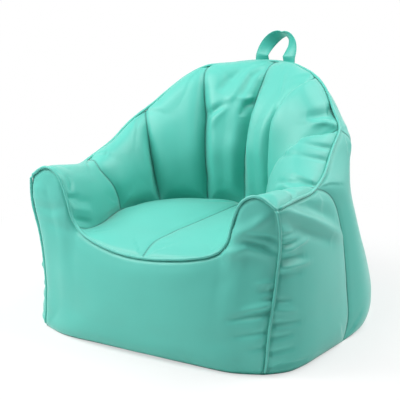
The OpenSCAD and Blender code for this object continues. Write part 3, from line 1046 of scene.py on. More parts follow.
PANELS = (
    PanelPlan("front_panel", Part.WALL, Facing.FRONT, 11, folds=FRONT_FOLDS),
    PanelPlan("left_side_panel", Part.WALL, Facing.SIDE, 12, folds=RIGHT_SIDE_FOLDS[9:]),
    PanelPlan("right_side_panel", Part.WALL, Facing.SIDE, 13, folds=RIGHT_SIDE_FOLDS),
    PanelPlan("left_quarter_panel", Part.WALL, Facing.SIDE, 14),
    PanelPlan("right_quarter_panel", Part.WALL, Facing.SIDE, 15,
              pushes=(Push((0.60, 0.60, 0.86), 90 * MM, (-0.007, -0.003, 0.0)),)),
    PanelPlan("rear_panel", Part.WALL, Facing.FRONT, 16, folds=REAR_FOLDS),
    PanelPlan("left_seat_panel", Part.SEAT, Facing.TOP, 17),
    PanelPlan("right_seat_panel", Part.SEAT, Facing.TOP, 18),
    PanelPlan("left_middle_channel", Part.BACK, Facing.FRONT, 19, folds=LEFT_CHANNEL_FOLDS),
    PanelPlan("right_middle_channel", Part.BACK, Facing.FRONT, 20,
              pushes=(Push((0.3, 0.4, 0.6), 130 * MM, (-0.012, -0.012, 0.0)),),
              folds=(Fold(((0.40, 0.99), (0.53, 0.84), (0.58, 0.66)), -3, 9),)),
    PanelPlan("left_outer_channel", Part.BACK, Facing.FRONT, 21),
    PanelPlan("right_outer_channel", Part.BACK, Facing.FRONT, 22,
              pushes=(Push((0.35, 0.5, 0.75), 110 * MM, (-0.034, -0.024, 0.008)),
                      Push((0.4, 0.8, 0.9), 90 * MM, (-0.010, -0.006, 0.018)),
                      Push((0.3, 0.2, 0.3), 110 * MM, (-0.014, -0.010, 0.0))),
              folds=RIGHT_OUTER_FOLDS),
    PanelPlan("left_wing_panel", Part.BACK, Facing.SIDE, 23),
    PanelPlan("right_wing_panel", Part.BACK, Facing.SIDE, 24,
              pushes=(Push((0.6, 0.7, 0.75), 130 * MM, (-0.030, -0.008, 0.026)),
                      Push((0.25, 0.50, 0.24), 155 * MM, (-0.062, -0.014, 0.0))),
              folds=RIGHT_WING_FOLDS),
    PanelPlan("left_arm_panel", Part.ARM, Facing.SIDE, 25, folds=LEFT_ARM_FOLDS),
    PanelPlan("right_arm_panel", Part.ARM, Facing.SIDE, 26, folds=RIGHT_ARM_FOLDS),
)

# How deep each plain seam is drawn in, by the parts that it joins
SEAM_DEPTHS = {
    frozenset({Part.WALL}): 2.5 * MM,
    frozenset({Part.SEAT}): 3 * MM,
    frozenset({Part.ARM, Part.BACK}): 3 * MM,
    frozenset({Part.ARM, Part.SEAT}): 9 * MM,
    frozenset({Part.BACK, Part.SEAT}): 13 * MM,
    frozenset({Part.BACK}): 16 * MM,
}
# How far each part rolls up beside a seam: by the piping there, or by the part across a plain seam
ROLLS = {
    (Part.BACK, "rim_piping"): 10 * MM,
    (Part.ARM, "rim_piping"): 8 * MM,
    (Part.ARM, "front_piping"): 4 * MM,
    (Part.SEAT, "front_piping"): 4 * MM,
    (Part.WALL, "front_piping"): 3.5 * MM,
    (Part.WALL, "rim_piping"): 4.5 * MM,
    (Part.WALL, "left_corner_piping"): 8 * MM,
    (Part.WALL, "right_corner_piping"): 6 * MM,
    (Part.WALL, SeamKind.BASE): 6 * MM,
    (Part.SEAT, Part.ARM): 8 * MM,
    (Part.SEAT, Part.BACK): 7 * MM,
    (Part.BACK, Part.SEAT): 5 * MM,
    (Part.BACK, Part.BACK): 4 * MM,
    (Part.ARM, Part.SEAT): 3 * MM,
}


@dataclass
class Cover:
    """All sewn panels of the cover."""

    panels: list[Panel] = field(default_factory=list)
    slump: Slump | None = None

    SEAM_BLUR = 14 * MM

    def sew(self, bag: Bag, piping: dict[str, BVHTree]) -> None:
        """Cuts every panel, swells it and finishes it.

        Args:
            bag: The bag inside.
            piping: The surface of each run of piping, by its node.
        """
        self.panels = [Panel(plan) for plan in PANELS]
        for panel in self.panels:
            panel.cut(bag, piping)
        self.set_seams(piping)
        edges = np.concatenate([panel.edge for panel in self.panels])
        self.slump = Slump(bag, edges[edges[:, 2] < ON_FLOOR])
        for panel in self.panels:
            panel.draw_in(bag, self.slump)
        self.swell()
        for panel in self.panels:
            panel.finish(bag)
            LOG.info("sewn: %s, %d faces", panel.obj.name, len(panel.obj.data.polygons))

    def set_seams(self, piping: dict[str, BVHTree]) -> None:
        """Works out how deep each seam is drawn in and how far the cloth rolls up beside it.

        The depth is the same for both panels that share a seam.

        Args:
            piping: The surface of each run of piping, by its node.
        """
        trees = [tree_of(panel.plan.node) for panel in self.panels]
        depths = []
        for place, panel in enumerate(self.panels):
            gaps = np.array([distances(panel.edge, tree) for tree in trees])
            gaps[place] = np.inf
            depths += panel.set_rolls([PANELS[k].part for k in gaps.argmin(axis=0)], piping)
        edges = np.concatenate([panel.edge for panel in self.panels])
        for panel in self.panels:
            gaps = np.sum((panel.edge[:, None] - edges[None]) ** 2, axis=2)
            weights = np.exp(-gaps / (2 * self.SEAM_BLUR ** 2))
            panel.depths = weights @ np.array(depths) / weights.sum(axis=1)
            panel.depths[panel.edge[:, 2] < ON_FLOOR] = 0

    def swell(self) -> None:
        """Runs the cloth simulation on every panel at once."""
        for panel in self.panels:
            panel.add_cloth()
        scene = bpy.context.scene
        for number in range(1, FRAMES + 1):
            scene.frame_set(number)
        graph = bpy.context.evaluated_depsgraph_get()
        shapes = [points_of(panel.obj.evaluated_get(graph).data) for panel in self.panels]
        for panel, shape in zip(self.panels, shapes):
            panel.take_cloth(shape)
        scene.frame_set(1)

    def edge_runs(self, carriers: Sequence[str], piping: BVHTree) -> list[Array]:
        """The stretches of some panels' edges that lie along a piping, one per panel.

        Args:
            carriers: The CAD nodes of the panels.
            piping: The surface of the piping.

        Returns:
            For each panel, the edge's points in order.
        """
        runs = []
        for panel in self.panels:
            if panel.plan.node not in carriers:
                continue
            near = distances(panel.edge, piping) < PIPED_GAP
            start = int(np.argmin(near))
            ordered = np.roll(np.arange(len(near)), -start)
            runs.append(panel.edge[ordered[near[ordered]]])
        return runs


# ---- piping


def chained(runs: list[Array]) -> Array:
    """Joins stretches of a seam end to end.

    Args:
        runs: The stretches, each a list of points in order.

    Returns:
        All points in order.
    """
    left = sorted(runs, key=lambda run: run[:, 0].min())
    path = left.pop(0)
    if left:
        ends = [np.linalg.norm(run[[0, -1]] - path[0], axis=1).min() for run in left]
        others = [np.linalg.norm(run[[0, -1]] - path[-1], axis=1).min() for run in left]
        if min(ends) < min(others):
            path = path[::-1]
    while left:
        gaps = [np.linalg.norm(run[[0, -1]] - path[-1], axis=1) for run in left]
        best = int(np.argmin([gap.min() for gap in gaps]))
        run = left.pop(best)
        path = np.concatenate([path, run if gaps[best][0] < gaps[best][1] else run[::-1]])
    return path


def evenly(path: Array, spacing: float) -> Array:
    """Samples a path at even distances.

    Args:
        path: Points in order.
        spacing: The distance wanted, in metres.

    Returns:
        The sampled points, both ends included.
    """
    keep = np.concatenate([[True], np.linalg.norm(np.diff(path, axis=0), axis=1) > 1e-6])
    path = path[keep]
    length = np.concatenate([[0], np.cumsum(np.linalg.norm(np.diff(path, axis=0), axis=1))])
    at = np.linspace(0, length[-1], max(2, round(length[-1] / spacing) + 1))
    return np.stack([np.interp(at, length, path[:, k]) for k in range(3)], axis=1)


@dataclass(frozen=True)
class PipingPlan:
    """One run of round piping, the panels whose edges carry it and the run that its top end meets."""

    node: str
    carriers: tuple[str, ...]
    meets: str | None = None


HALF_RIM = ("middle_channel", "outer_channel", "wing_panel", "arm_panel")
PIPINGS = (
    PipingPlan("front_piping", ("front_panel",)),
    PipingPlan("rim_piping", tuple(f"{side}_{name}" for side in ("left", "right") for name in HALF_RIM)),
    PipingPlan("left_corner_piping", ("left_side_panel",), "front_piping"),
    PipingPlan("right_corner_piping", ("right_side_panel",), "front_piping"),
)


@dataclass
class Piping:
    """A cord sewn into a sleeve of cover cloth, which lies along a seam."""

    plan: PipingPlan
    obj: Object | None = None

    RADIUS = 4.4 * MM
    SIDES = 14
    STEP = 3 * MM
    PROUD = 0.62
    TUCK = np.array([1.2, 0.5])
    EASING = 6
    TURN_EASING = 12

    def line(self, cover: Cover) -> Array:
        """The line of the seam that carries the piping, as the chair has settled.

        Args:
            cover: The sewn panels.

        Returns:
            Points in order.
        """
        path = chained(cover.edge_runs(self.plan.carriers, tree_of(self.plan.node)))
        if self.plan.meets:
            path = path if path[-1, 2] > path[0, 2] else path[::-1]
            path = np.vstack([path, tree_of(self.plan.meets).find_nearest(Vector(path[-1]))[0]])
        path = evenly(cover.slump.settled(path), self.STEP)
        for _ in range(self.EASING):
            path[1:-1] += 0.5 * ((path[:-2] + path[2:]) / 2 - path[1:-1])
        return path

    def sew(self, cover: Cover, bag: Bag) -> None:
        """Lays the piping along the seam, with its ends tucked in.

        Args:
            cover: The sewn panels.
            bag: The bag inside.
        """
        path = self.line(cover)
        out = -bag.inward(path)
        for _ in range(self.TURN_EASING):
            out[1:-1] = unit(out[:-2] + out[2:] + out[1:-1])
        ahead = unit(np.gradient(path, axis=0))
        out = unit(out - ahead * np.sum(out * ahead, axis=1, keepdims=True))
        place = np.arange(len(path))
        lift = self.RADIUS * (self.PROUD + 0.10 * value_noise(place / 9, Seed.PIPING_LIFT))
        lift[:2] -= self.RADIUS * self.TUCK
        lift[-2:] -= self.RADIUS * self.TUCK[::-1]
        centre = path + out * lift[:, None]
        swell = 0.05 * value_noise(place / 5, Seed.PIPING_SWELL)
        radius = self.RADIUS * (1 + swell + 0.04 * value_noise(place / 2, Seed.PIPING_GRAIN))
        cos, sin = (turn[:, None, None] for turn in circle(self.SIDES))
        points = centre + (cos * out + sin * np.cross(ahead, out)) * radius[:, None]
        rings = points.transpose(1, 0, 2)
        self.obj = new_object(self.plan.node + "_cord", rings, closed_tube(rings), flip=True)
        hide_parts(self.plan.node)
        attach(self.obj, CHAIR)


# ---- carrying loop


@dataclass(frozen=True)
class Webbing:
    """A flat strap of two sewn layers, given by its middle line and two half sizes along it."""

    centre: Array
    across: Array
    through: Array

    SIDES = 44
    ROUND_ACROSS = 0.35
    ROUND_THROUGH = 0.5
    SEAM_AT = 0.84
    END_ROW = 0.2
    END_SIZE = 0.8
    GROOVE = 0.22
    GROOVE_WIDTH = 0.06
    STITCH = 2.5 * MM
    STITCH_HEIGHT = 0.8

    @staticmethod
    def with_ends(rows: Array) -> Array:
        """Adds a row close to each end, so that the rounding there stays short.

        Args:
            rows: One row for each point of the middle line.

        Returns:
            Two more rows.
        """
        near = Webbing.END_ROW
        return np.vstack([rows[:1], rows[:1] * (1 - near) + rows[1:2] * near, rows[1:-1],
                          rows[-2:-1] * near + rows[-1:] * (1 - near), rows[-1:]])

    def rings(self) -> Array:
        """The strap's section at each point of its middle line, with a groove along each stitch line.

        Returns:
            Rings by points by 3.
        """
        cos, sin = circle(self.SIDES)
        wide = np.sign(cos) * np.abs(cos) ** self.ROUND_ACROSS
        high = np.sign(sin) * np.abs(sin) ** self.ROUND_THROUGH
        high = high * (1 - self.GROOVE * np.exp(-((np.abs(wide) - self.SEAM_AT) / self.GROOVE_WIDTH) ** 2))
        centre, across, through = (self.with_ends(rows) for rows in (self.centre, self.across, self.through))
        rings = centre[:, None] + wide[:, None] * across[:, None] + high[:, None] * through[:, None]
        for end in (0, -1):
            rings[end] = centre[end] + self.END_SIZE * (rings[end] - centre[end])
        return rings

    def build(self, name: str) -> Object:
        """Makes the strap's mesh.

        Args:
            name: The object's name.

        Returns:
            The object.
        """
        rings = self.rings()
        ahead = np.cross(self.across[1], self.through[1]) @ (self.centre[2] - self.centre[1])
        return new_object(name, rings, closed_tube(rings), flip=ahead >= 0)

    def stitches(self) -> list[tuple[Array, Array, Array]]:
        """Places for stitches along both edges of both faces.

        Returns:
            The two ends and the outward direction of each stitch.
        """
        found = []
        for edge in (-self.SEAM_AT, self.SEAM_AT):
            for face in (-1, 1):
                line = self.centre + edge * self.across + self.STITCH_HEIGHT * face * self.through
                points = evenly(line, self.STITCH)
                _, near = nearest(points, line)
                out = unit(self.through[near] * face)
                found += [(points[k], points[k + 1], out[k]) for k in range(1, len(points) - 2, 2)]
        return found


# The rings of one stitch: each one's share along it, its size, and its lift in thread radii
STITCH_RINGS = ((-0.15, 0.35, -0.8), (0.1, 0.9, 0.0), (0.5, 1.0, 0.3), (0.9, 0.9, 0.0), (1.15, 0.35, -0.8))
THREAD_RADIUS = 0.5 * MM
THREAD_SIDES = 6


def stitching(name: str, stitches: Sequence[tuple[Array, Array, Array]]) -> Object:
    """Makes short thread stitches.

    Args:
        name: The object's name.
        stitches: The two ends and the outward direction of each.

    Returns:
        One object with all of them.
    """
    cos, sin = (turn[:, None] for turn in circle(THREAD_SIDES))
    points = []
    faces = []
    for start, end, out in stitches:
        section = (cos * np.cross(unit(end - start), out) + sin * out) * THREAD_RADIUS
        rings = np.array([start + (end - start) * share + out * lift * THREAD_RADIUS + section * size
                          for share, size, lift in STITCH_RINGS])
        base = len(points) * len(STITCH_RINGS) * THREAD_SIDES
        points.append(rings)
        faces += [tuple(base + k for k in face) for face in closed_tube(rings)]
    return new_object(name, np.array(points), faces)


@dataclass
class CarryingLoop:
    """The strap at the top of the back, its two sewn ends and its stitching."""

    pieces: list[Object] = field(default_factory=list)
    threads: list[Object] = field(default_factory=list)

    LAYER = 4.5 * MM
    LEAN = 0.18
    SAMPLES = 90
    WAVES = 7
    WAVE = 1.2
    HALF_THICKNESS = 2 * MM
    SUNK = 11 * MM
    OVERLAP = 3 * MM
    END_SHARES = np.array([0, 0.1, 0.3, 0.6, 0.85, 1.0])[:, None]

    def sew(self, slump: Slump) -> None:
        """Makes the strap and its ends.

        Args:
            slump: How the chair has settled.
        """
        one, other = sheets_of("handle_strap", self.LAYER)
        if len(one) < one.shape[1]:
            one = one.transpose(1, 0, 2)
        other = matched(other, one)
        fine = spline_weights(len(one), self.SAMPLES)
        centre = fine @ ((one[:, 1] + other[:, 1]) / 2)
        across = fine @ ((one[:, 2] - one[:, 0] + other[:, 2] - other[:, 0]) / 4)
        through = fine @ ((one[:, 1] - other[:, 1]) / 2)
        slack = np.sin(np.linspace(0, np.pi, len(centre)))[:, None]
        wave = value_noise(np.linspace(0, self.WAVES, len(centre)), Seed.STRAP)[:, None]
        rise = centre[:, 2:] - centre[0, 2]
        centre = centre + unit(through) * slack * wave * self.WAVE * MM
        centre = centre + rise * np.array([self.LEAN, 0, -self.LEAN / 3])
        strap = Webbing(centre, across, through)
        self.add(strap, "carrying_strap", "handle_strap", HANDLE)
        for side in ("left", "right"):
            self.add(self.tab(f"{side}_handle_tab", slump), f"{side}_strap_end", f"{side}_handle_tab", CHAIR)

    def tab(self, node: str, slump: Slump) -> Webbing:
        """One sewn end of the strap, from the settled rim seam up to the loop.

        Args:
            node: Its CAD node.
            slump: How the chair has settled.

        Returns:
            The strap end.
        """
        points = np.unique(points_of(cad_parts[node].data).round(5), axis=0)
        points = points[np.lexsort((points[:, 2], points[:, 0].round(4)))].reshape(-1, 4, 3)
        low = slump.settled(points[:, :2].mean(axis=1))
        high = points[:, 2:].mean(axis=1)
        low[:, 2] -= self.SUNK
        high[:, 2] += self.OVERLAP
        share = self.END_SHARES
        centre = low[2] + (high[2] - low[2]) * share
        across = ((low[-1] - low[0]) * (1 - share) + (high[-1] - high[0]) * share) / 2
        through = np.cross(across, high[2] - low[2])
        return Webbing(centre, across, unit(through) * self.HALF_THICKNESS)

    def add(self, webbing: Webbing, name: str, node: str, body: str) -> None:
        """Builds one stretch of strap with its stitching.

        Args:
            webbing: The strap.
            name: The object's name.
            node: The CAD node that it stands for.
            body: The body that it rides on.
        """
        strap = webbing.build(name)
        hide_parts(node)
        thread = stitching(name + "_stitching", webbing.stitches())
        for obj in (strap, thread):
            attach(obj, body)
        self.pieces.append(strap)
        self.threads.append(thread)


# ---- base and zip


@dataclass
class BaseHalf:
    """One half of the flat base, with a hem along the zip."""

    node: str
    seed: int
    obj: Object | None = None
    thread: Object | None = None

    STEP = 9 * MM
    HEM = 9 * MM
    ZIP_ROOM = 5 * MM
    BUNCHING = 1.4
    OPENING = 4 * MM
    OPENING_FADE = 8
    OPENING_RISE = 12 * MM
    GROOVE_REACH = 20 * MM
    GROOVE_WIDTH = 1.5 * MM
    GROOVE = 0.7 * MM
    CLEARANCE = 0.2 * MM
    CRUMPLE = 0.5 * MM
    WAVE = 52 * MM
    DEEP_WAVE = 61 * MM
    BROAD_WAVE = 90 * MM
    LONG_WAVE = 120 * MM
    TURN_UP = 1.8 * MM
    TURNED = 8 * MM
    STITCH = 2.5 * MM

    def half_width(self, outline: Array, at: Array) -> Array:
        """Half the base's width along its depth, without the notch that the zip leaves.

        Args:
            outline: The points of the half on the floor, by 2.
            at: Places along y.

        Returns:
            Half widths in metres.
        """
        rim = outline[outline[:, 0] > 0]
        rows: dict[float, float] = {}
        for x, y in rim:
            key = round(float(y), 4)
            rows[key] = max(rows.get(key, 0), float(x))
        places: list[float] = []
        for place in sorted(rows):
            while len(places) > 1:
                start, middle = places[-2:]
                chord = np.interp(middle, (start, place), (rows[start], rows[place]))
                if rows[middle] > chord:
                    break
                places.pop()
            places.append(place)
        return np.interp(at, places, [rows[place] for place in places])

    def cloth(self, outline: Array, seam: float, hem: float, slot: float) -> Array:
        """The half in rows across the chair, with its hem turned up at the zip.

        Args:
            outline: The points of the half on the floor.
            seam: Where the half meets the cover, along y.
            hem: Where it ends at the zip, along y.
            slot: Half the length of the opening for the zip.

        Returns:
            Points, rows by columns by 3, before the chair has settled.
        """
        away = np.sign(seam - hem)
        share = np.linspace(0, 1, round(abs(hem - seam) / self.STEP)) ** self.BUNCHING
        rows = seam + (hem - seam) * share
        wide = self.half_width(outline, rows)
        columns = np.linspace(-1, 1, round(2 * wide.max() / self.STEP))
        x = wide[:, None] * columns
        opening = self.OPENING * eased_step((slot - np.abs(x)) / self.OPENING_RISE)
        y = rows[:, None] + away * opening * share[:, None] ** self.OPENING_FADE
        bend = 3 * value_noise(y / self.BROAD_WAVE, self.seed)
        across = value_noise(x / self.WAVE + bend, Seed.BASE_ACROSS)
        bend = 2 * value_noise(x / self.LONG_WAVE, Seed.BASE_ALONG)
        along = value_noise(y / self.DEEP_WAVE + bend, self.seed)
        inner = eased_step((1 - np.abs(columns)) * 8) * eased_step(share * 9)[:, None]
        z = self.CLEARANCE + (1.1 + across * along) * self.CRUMPLE * inner
        groove = np.exp(-((np.abs(hem - y) - self.HEM) / self.GROOVE_WIDTH) ** 2)
        z += groove * (np.abs(x) < slot + self.GROOVE_REACH) * self.GROOVE
        grid = np.stack([x, y, z], axis=-1)
        turned = grid[-1] + np.array([0, 0, self.TURN_UP])
        folded = turned + np.array([0, away * self.TURNED, self.CLEARANCE])
        return np.concatenate([grid, turned[None], folded[None]])

    def sew(self, slump: Slump) -> None:
        """Lays the half out on the floor and stitches its hem.

        Args:
            slump: How the chair has settled.
        """
        points = points_of(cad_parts[self.node].data)
        outline = points[points[:, 2] < 0.1 * MM][:, :2]
        zip_low, zip_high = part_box("zip_front_teeth")
        zip_y = (zip_high[1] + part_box("zip_rear_teeth")[0][1]) / 2
        slot = (zip_high[0] - zip_low[0]) / 2 + self.ZIP_ROOM
        seam, hem = sorted((outline[:, 1].min(), outline[:, 1].max()), key=lambda y: -abs(y - zip_y))
        grid = self.cloth(outline, seam, hem, slot)
        grid = slump.settled(grid.reshape(-1, 3)).reshape(grid.shape)
        up = np.cross(grid[0, 1] - grid[0, 0], grid[1, 0] - grid[0, 0])[2] >= 0
        self.obj = new_object(self.node + "_cloth", grid, grid_faces(*grid.shape[:2]), flip=up)
        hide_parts(self.node)
        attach(self.obj, CHAIR)
        line = np.array([[x, hem + np.sign(seam - hem) * (self.HEM + 4 * MM), 0.5 * MM]
                         for x in np.arange(-slot, slot, self.STITCH)])
        down = np.array([0.0, 0.0, -1.0])
        stitches = [(line[k], line[k + 1], down) for k in range(0, len(line) - 1, 2)]
        self.thread = stitching(self.node + "_stitching", stitches)
        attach(self.thread, CHAIR)


@dataclass
class ZipTape:
    """One woven tape of the zip."""

    node: str
    obj: Object | None = None

    COLUMNS = 150
    ROWS = 13
    RIPPLE = 0.12 * MM
    WAVE = 23 * MM

    def weave(self) -> None:
        """Makes the tape with a slight ripple."""
        low, high = corners(self.node)
        xs = np.linspace(low[0], high[0], self.COLUMNS)
        ripple = self.RIPPLE * value_noise(xs / self.WAVE, Seed.TAPE)
        top = np.array([[[x, low[1] + (high[1] - low[1]) * v, high[2] - 0.25 * MM + lift * np.sin(np.pi * v)]
                         for x, lift in zip(xs, ripple)] for v in np.linspace(0, 1, self.ROWS)])
        bottom = top[::-1].copy()
        bottom[..., 2] -= (high[2] - low[2]) - 0.35 * MM
        rings = np.concatenate([top, bottom]).transpose(1, 0, 2)
        self.obj = new_object(self.node + "_woven", rings, closed_tube(rings), flip=True)
        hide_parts(self.node)
        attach(self.obj, CHAIR)


# ---- inside of the chair


def refined_copy(node: str, name: str) -> Object:
    """Copies a closed CAD node's mesh with finer triangles.

    Args:
        node: The CAD node.
        name: The new object's name.

    Returns:
        The object.
    """
    bm = bmesh.new()
    bm.from_mesh(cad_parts[node].data)
    bmesh.ops.remove_doubles(bm, verts=bm.verts, dist=0.05 * MM)
    bmesh.ops.subdivide_edges(bm, edges=bm.edges, cuts=3, use_grid_fill=True, smooth=0)
    for _ in range(3):
        bmesh.ops.smooth_vert(bm, verts=bm.verts, factor=0.5, use_axis_x=True, use_axis_y=True,
                              use_axis_z=True)
    mesh = bpy.data.meshes.new(name)
    bm.to_mesh(mesh)
    bm.free()
    return linked(name, shaded_smooth(mesh))


@dataclass
class Filling:
    """The liner bag and the beads in it, which nothing shows while the cover is closed."""

    pieces: dict[str, Object] = field(default_factory=dict)

    CREASE_REACH = 60 * MM
    SPARE = 9 * MM
    CRUMPLE = 1.5 * MM
    WAVE_ACROSS = 41 * MM
    WAVE_UP = 37 * MM
    FOOT_RISE = 15 * MM
    STRIP_ROWS = 90

    def make(self, cover: Cover, bag: Bag) -> None:
        """Makes the liner and the beads, drawn in behind the cover's deep seams.

        Args:
            cover: The sewn panels.
            bag: The bag, which tells which way is in.
        """
        edges = np.concatenate([panel.edge for panel in cover.panels])
        depths = np.concatenate([panel.depths for panel in cover.panels])
        for node, name, slot, seed in (("inner_liner", "liner_bag", "liner", Seed.LINER),
                                       ("bead_fill", "bead_heap", "beads", Seed.BEADS)):
            obj = refined_copy(node, name)
            points = points_of(obj.data)
            gap, near = nearest(points, edges)
            pull = (depths[near] + self.SPARE) * (1 - eased_step(gap / self.CREASE_REACH))
            crumple = value_noise(points[:, 0] / self.WAVE_ACROSS, seed)
            crumple *= value_noise(points[:, 2] / self.WAVE_UP, seed + 1)
            pull += (1 + crumple) * self.CRUMPLE
            pull *= eased_step((points[:, 2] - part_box(node)[0][2]) / self.FOOT_RISE)
            move_points(obj.data, cover.slump.settled(points) + bag.inward(points) * pull[:, None])
            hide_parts(node)
            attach(obj, CHAIR)
            self.pieces[name] = obj
        self.pieces["liner_strip"] = self.strip()

    def strip(self) -> Object:
        """Makes the liner's closing strip.

        Returns:
            The strip.
        """
        low, high = corners("liner_closure")
        middle, half = (low + high) / 2, (high - low) / 2
        centre = np.linspace([low[0], *middle[1:]], [high[0], *middle[1:]], self.STRIP_ROWS)
        sizes = (np.tile(size, (self.STRIP_ROWS, 1)) for size in ([0, half[1], 0], [0, 0, half[2]]))
        strip = Webbing(centre, *sizes)
        obj = strip.build("liner_strip")
        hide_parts("liner_closure")
        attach(obj, CHAIR)
        return obj


# ---- materials


class Nodes:
    """Builds the nodes of one material, or of the world."""

    def __init__(self, owner: bpy.types.Material | bpy.types.World, output: str) -> None:
        """Starts with nothing but an output.

        Args:
            owner: The material or the world.
            output: The output node's type.
        """
        owner.use_nodes = True
        self.owner = owner
        self.tree = owner.node_tree
        self.tree.nodes.clear()
        self.output = self.add(output)

    @cached_property
    def place(self) -> Socket:
        """The place on the object.

        Returns:
            A point in metres from the object's origin.
        """
        return self.add("TexCoord").outputs["Object"]

    def add(self, kind: str, *values: object, **named: object) -> bpy.types.Node:
        """Adds a node, sets its options, and sets or links its inputs.

        Args:
            kind: The node's type, without the ShaderNode that every type starts with.
            values: Values or sockets for the inputs in order.
            named: Options, in lower case, and values or sockets by input name, with _ for a space.

        Returns:
            The node.
        """
        node = self.tree.nodes.new("ShaderNode" + kind)
        for name, value in named.items():
            if name[0].islower():
                setattr(node, name, value)
            else:
                self.feed(node.inputs[name.replace("_", " ")], value)
        for socket, value in zip(node.inputs, values):
            self.feed(socket, value)
        return node

    def feed(self, socket: Socket, value: object) -> None:
        """Links a socket to another, or sets its value.

        Args:
            socket: The input.
            value: An output socket or a plain value.
        """
        if isinstance(value, Socket):
            self.tree.links.new(value, socket)
        else:
            socket.default_value = value

    def noise(self, scale: float, detail: float = 3, roughness: float = 0.5,
              stretch: tuple[float, float, float] = (1, 1, 1)) -> Socket:
        """Noise over the object.

        Args:
            scale: Waves per metre.
            detail: How many finer layers.
            roughness: How strong they are.
            stretch: Factors along the three axes.

        Returns:
            A value around a half.
        """
        mapping = self.add("Mapping", Vector=self.place, Scale=stretch)
        texture = self.add("TexNoise", Vector=mapping.outputs[0], Scale=scale, Detail=detail,
                           Roughness=roughness)
        return texture.outputs["Fac"]

    def cells(self, scale: float) -> Socket:
        """Distance to the nearest of many scattered points, as in leather grain.

        Args:
            scale: Cells per metre.

        Returns:
            A distance from 0 up.
        """
        return self.add("TexVoronoi", Vector=self.place, Scale=scale).outputs["Distance"]

    def spread(self, value: object, low: float, high: float) -> Socket:
        """Maps 0..1 to low..high.

        Args:
            value: A socket.
            low: The result at 0.
            high: The result at 1.

        Returns:
            The result.
        """
        return self.add("MapRange", Value=value, To_Min=low, To_Max=high).outputs["Result"]

    def math(self, operation: str, first: object, second: object) -> Socket:
        """Combines two values.

        Args:
            operation: The operation's name.
            first: A socket or number.
            second: A socket or number.

        Returns:
            The result.
        """
        return self.add("Math", first, second, operation=operation).outputs[0]

    def mixed(self, factor: object, first: object, second: object) -> Socket:
        """Mixes two colours.

        Args:
            factor: 0 for the first, 1 for the second.
            first: A colour or socket.
            second: A colour or socket.

        Returns:
            The colour.
        """
        return self.add("Mix", data_type="RGBA", Factor=factor, A=first, B=second).outputs["Result"]

    def bump(self, height: object, distance: float, strength: float = 1.0,
             **under: Socket) -> Socket:
        """Turns a height into a bumped normal.

        Args:
            height: A socket.
            distance: The height in metres where the socket is 1.
            strength: How much of it shows.
            under: Normal, if it starts from another bumped normal.

        Returns:
            The normal.
        """
        bump = self.add("Bump", Height=height, Distance=distance, Strength=strength, **under)
        return bump.outputs["Normal"]

    def end(self, kind: str, *values: object, **named: object) -> bpy.types.Material | bpy.types.World:
        """Ends the tree with its last node, a shader.

        Args:
            kind: The shader's type.
            values: As for add.
            named: As for add.

        Returns:
            The finished material or world.
        """
        self.feed(self.output.inputs["Surface"], self.add(kind, *values, **named).outputs[0])
        return self.owner


def tint(color: tuple[float, float, float], factor: float) -> tuple[float, float, float, float]:
    """A colour made lighter or darker, as a node wants it.

    Args:
        color: Linear red, green and blue.
        factor: What to multiply it by.

    Returns:
        Red, green, blue and alpha.
    """
    return (*(min(1.0, c * factor) for c in color), 1.0)


@dataclass(frozen=True)
class Finish:
    """Anything that builds a material from its name and its linear colour."""

    name: str
    color: tuple[float, float, float]

    def start(self) -> Nodes:
        """Starts the material.

        Returns:
            Its nodes.
        """
        return Nodes(bpy.data.materials.new(self.name), "OutputMaterial")

    def material(self) -> bpy.types.Material:
        """Builds the material.

        Returns:
            The material.
        """
        raise NotImplementedError


@dataclass(frozen=True)
class FauxLeather(Finish):
    """Coated cloth with a fine grain and a satin sheen, with painted shade that darkens it in its seams."""

    roughness: float = 0.45
    grain: float = 0.10 * MM
    sheen: float = 0.4

    def material(self) -> bpy.types.Material:
        """Builds the material.

        Returns:
            The material.
        """
        nodes = self.start()
        seam = nodes.add("Attribute", attribute_name="seam")
        body = nodes.mixed(nodes.noise(7), tint(self.color, 0.93), tint(self.color, 1.06))
        crease = nodes.math("POWER", seam.outputs["Fac"], 7.0)
        # Painted shade: in the seam creases the colour darkens to a quarter of the cover's own
        color = nodes.mixed(nodes.math("MULTIPLY", crease, 0.9), body, tint(self.color, 0.25))
        grain = nodes.math("ADD", nodes.cells(620), nodes.math("MULTIPLY", nodes.noise(1500, 2), 0.5))
        soft = nodes.bump(nodes.noise(45), 0.15 * MM, 0.5)
        normal = nodes.bump(grain, self.grain, Normal=soft)
        rough = nodes.spread(nodes.noise(28, 4), self.roughness - 0.05, self.roughness + 0.07)
        rough = nodes.math("ADD", rough, nodes.math("MULTIPLY", crease, 0.45))
        return nodes.end("BsdfPrincipled", Base_Color=color, Roughness=rough, Normal=normal,
                         Sheen_Weight=self.sheen, Sheen_Roughness=0.35, Specular_IOR_Level=0.5)


@dataclass(frozen=True)
class Thread(Finish):
    """Twisted polyester sewing thread."""

    def material(self) -> bpy.types.Material:
        """Builds the material.

        Returns:
            The material.
        """
        nodes = self.start()
        twist = nodes.noise(900, 2, stretch=(1, 1, 0.3))
        color = nodes.mixed(twist, tint(self.color, 0.8), tint(self.color, 1.15))
        normal = nodes.bump(twist, 0.12 * MM)
        rough = nodes.spread(twist, 0.45, 0.6)
        return nodes.end("BsdfPrincipled", Base_Color=color, Roughness=rough, Normal=normal, Sheen_Weight=0.3)


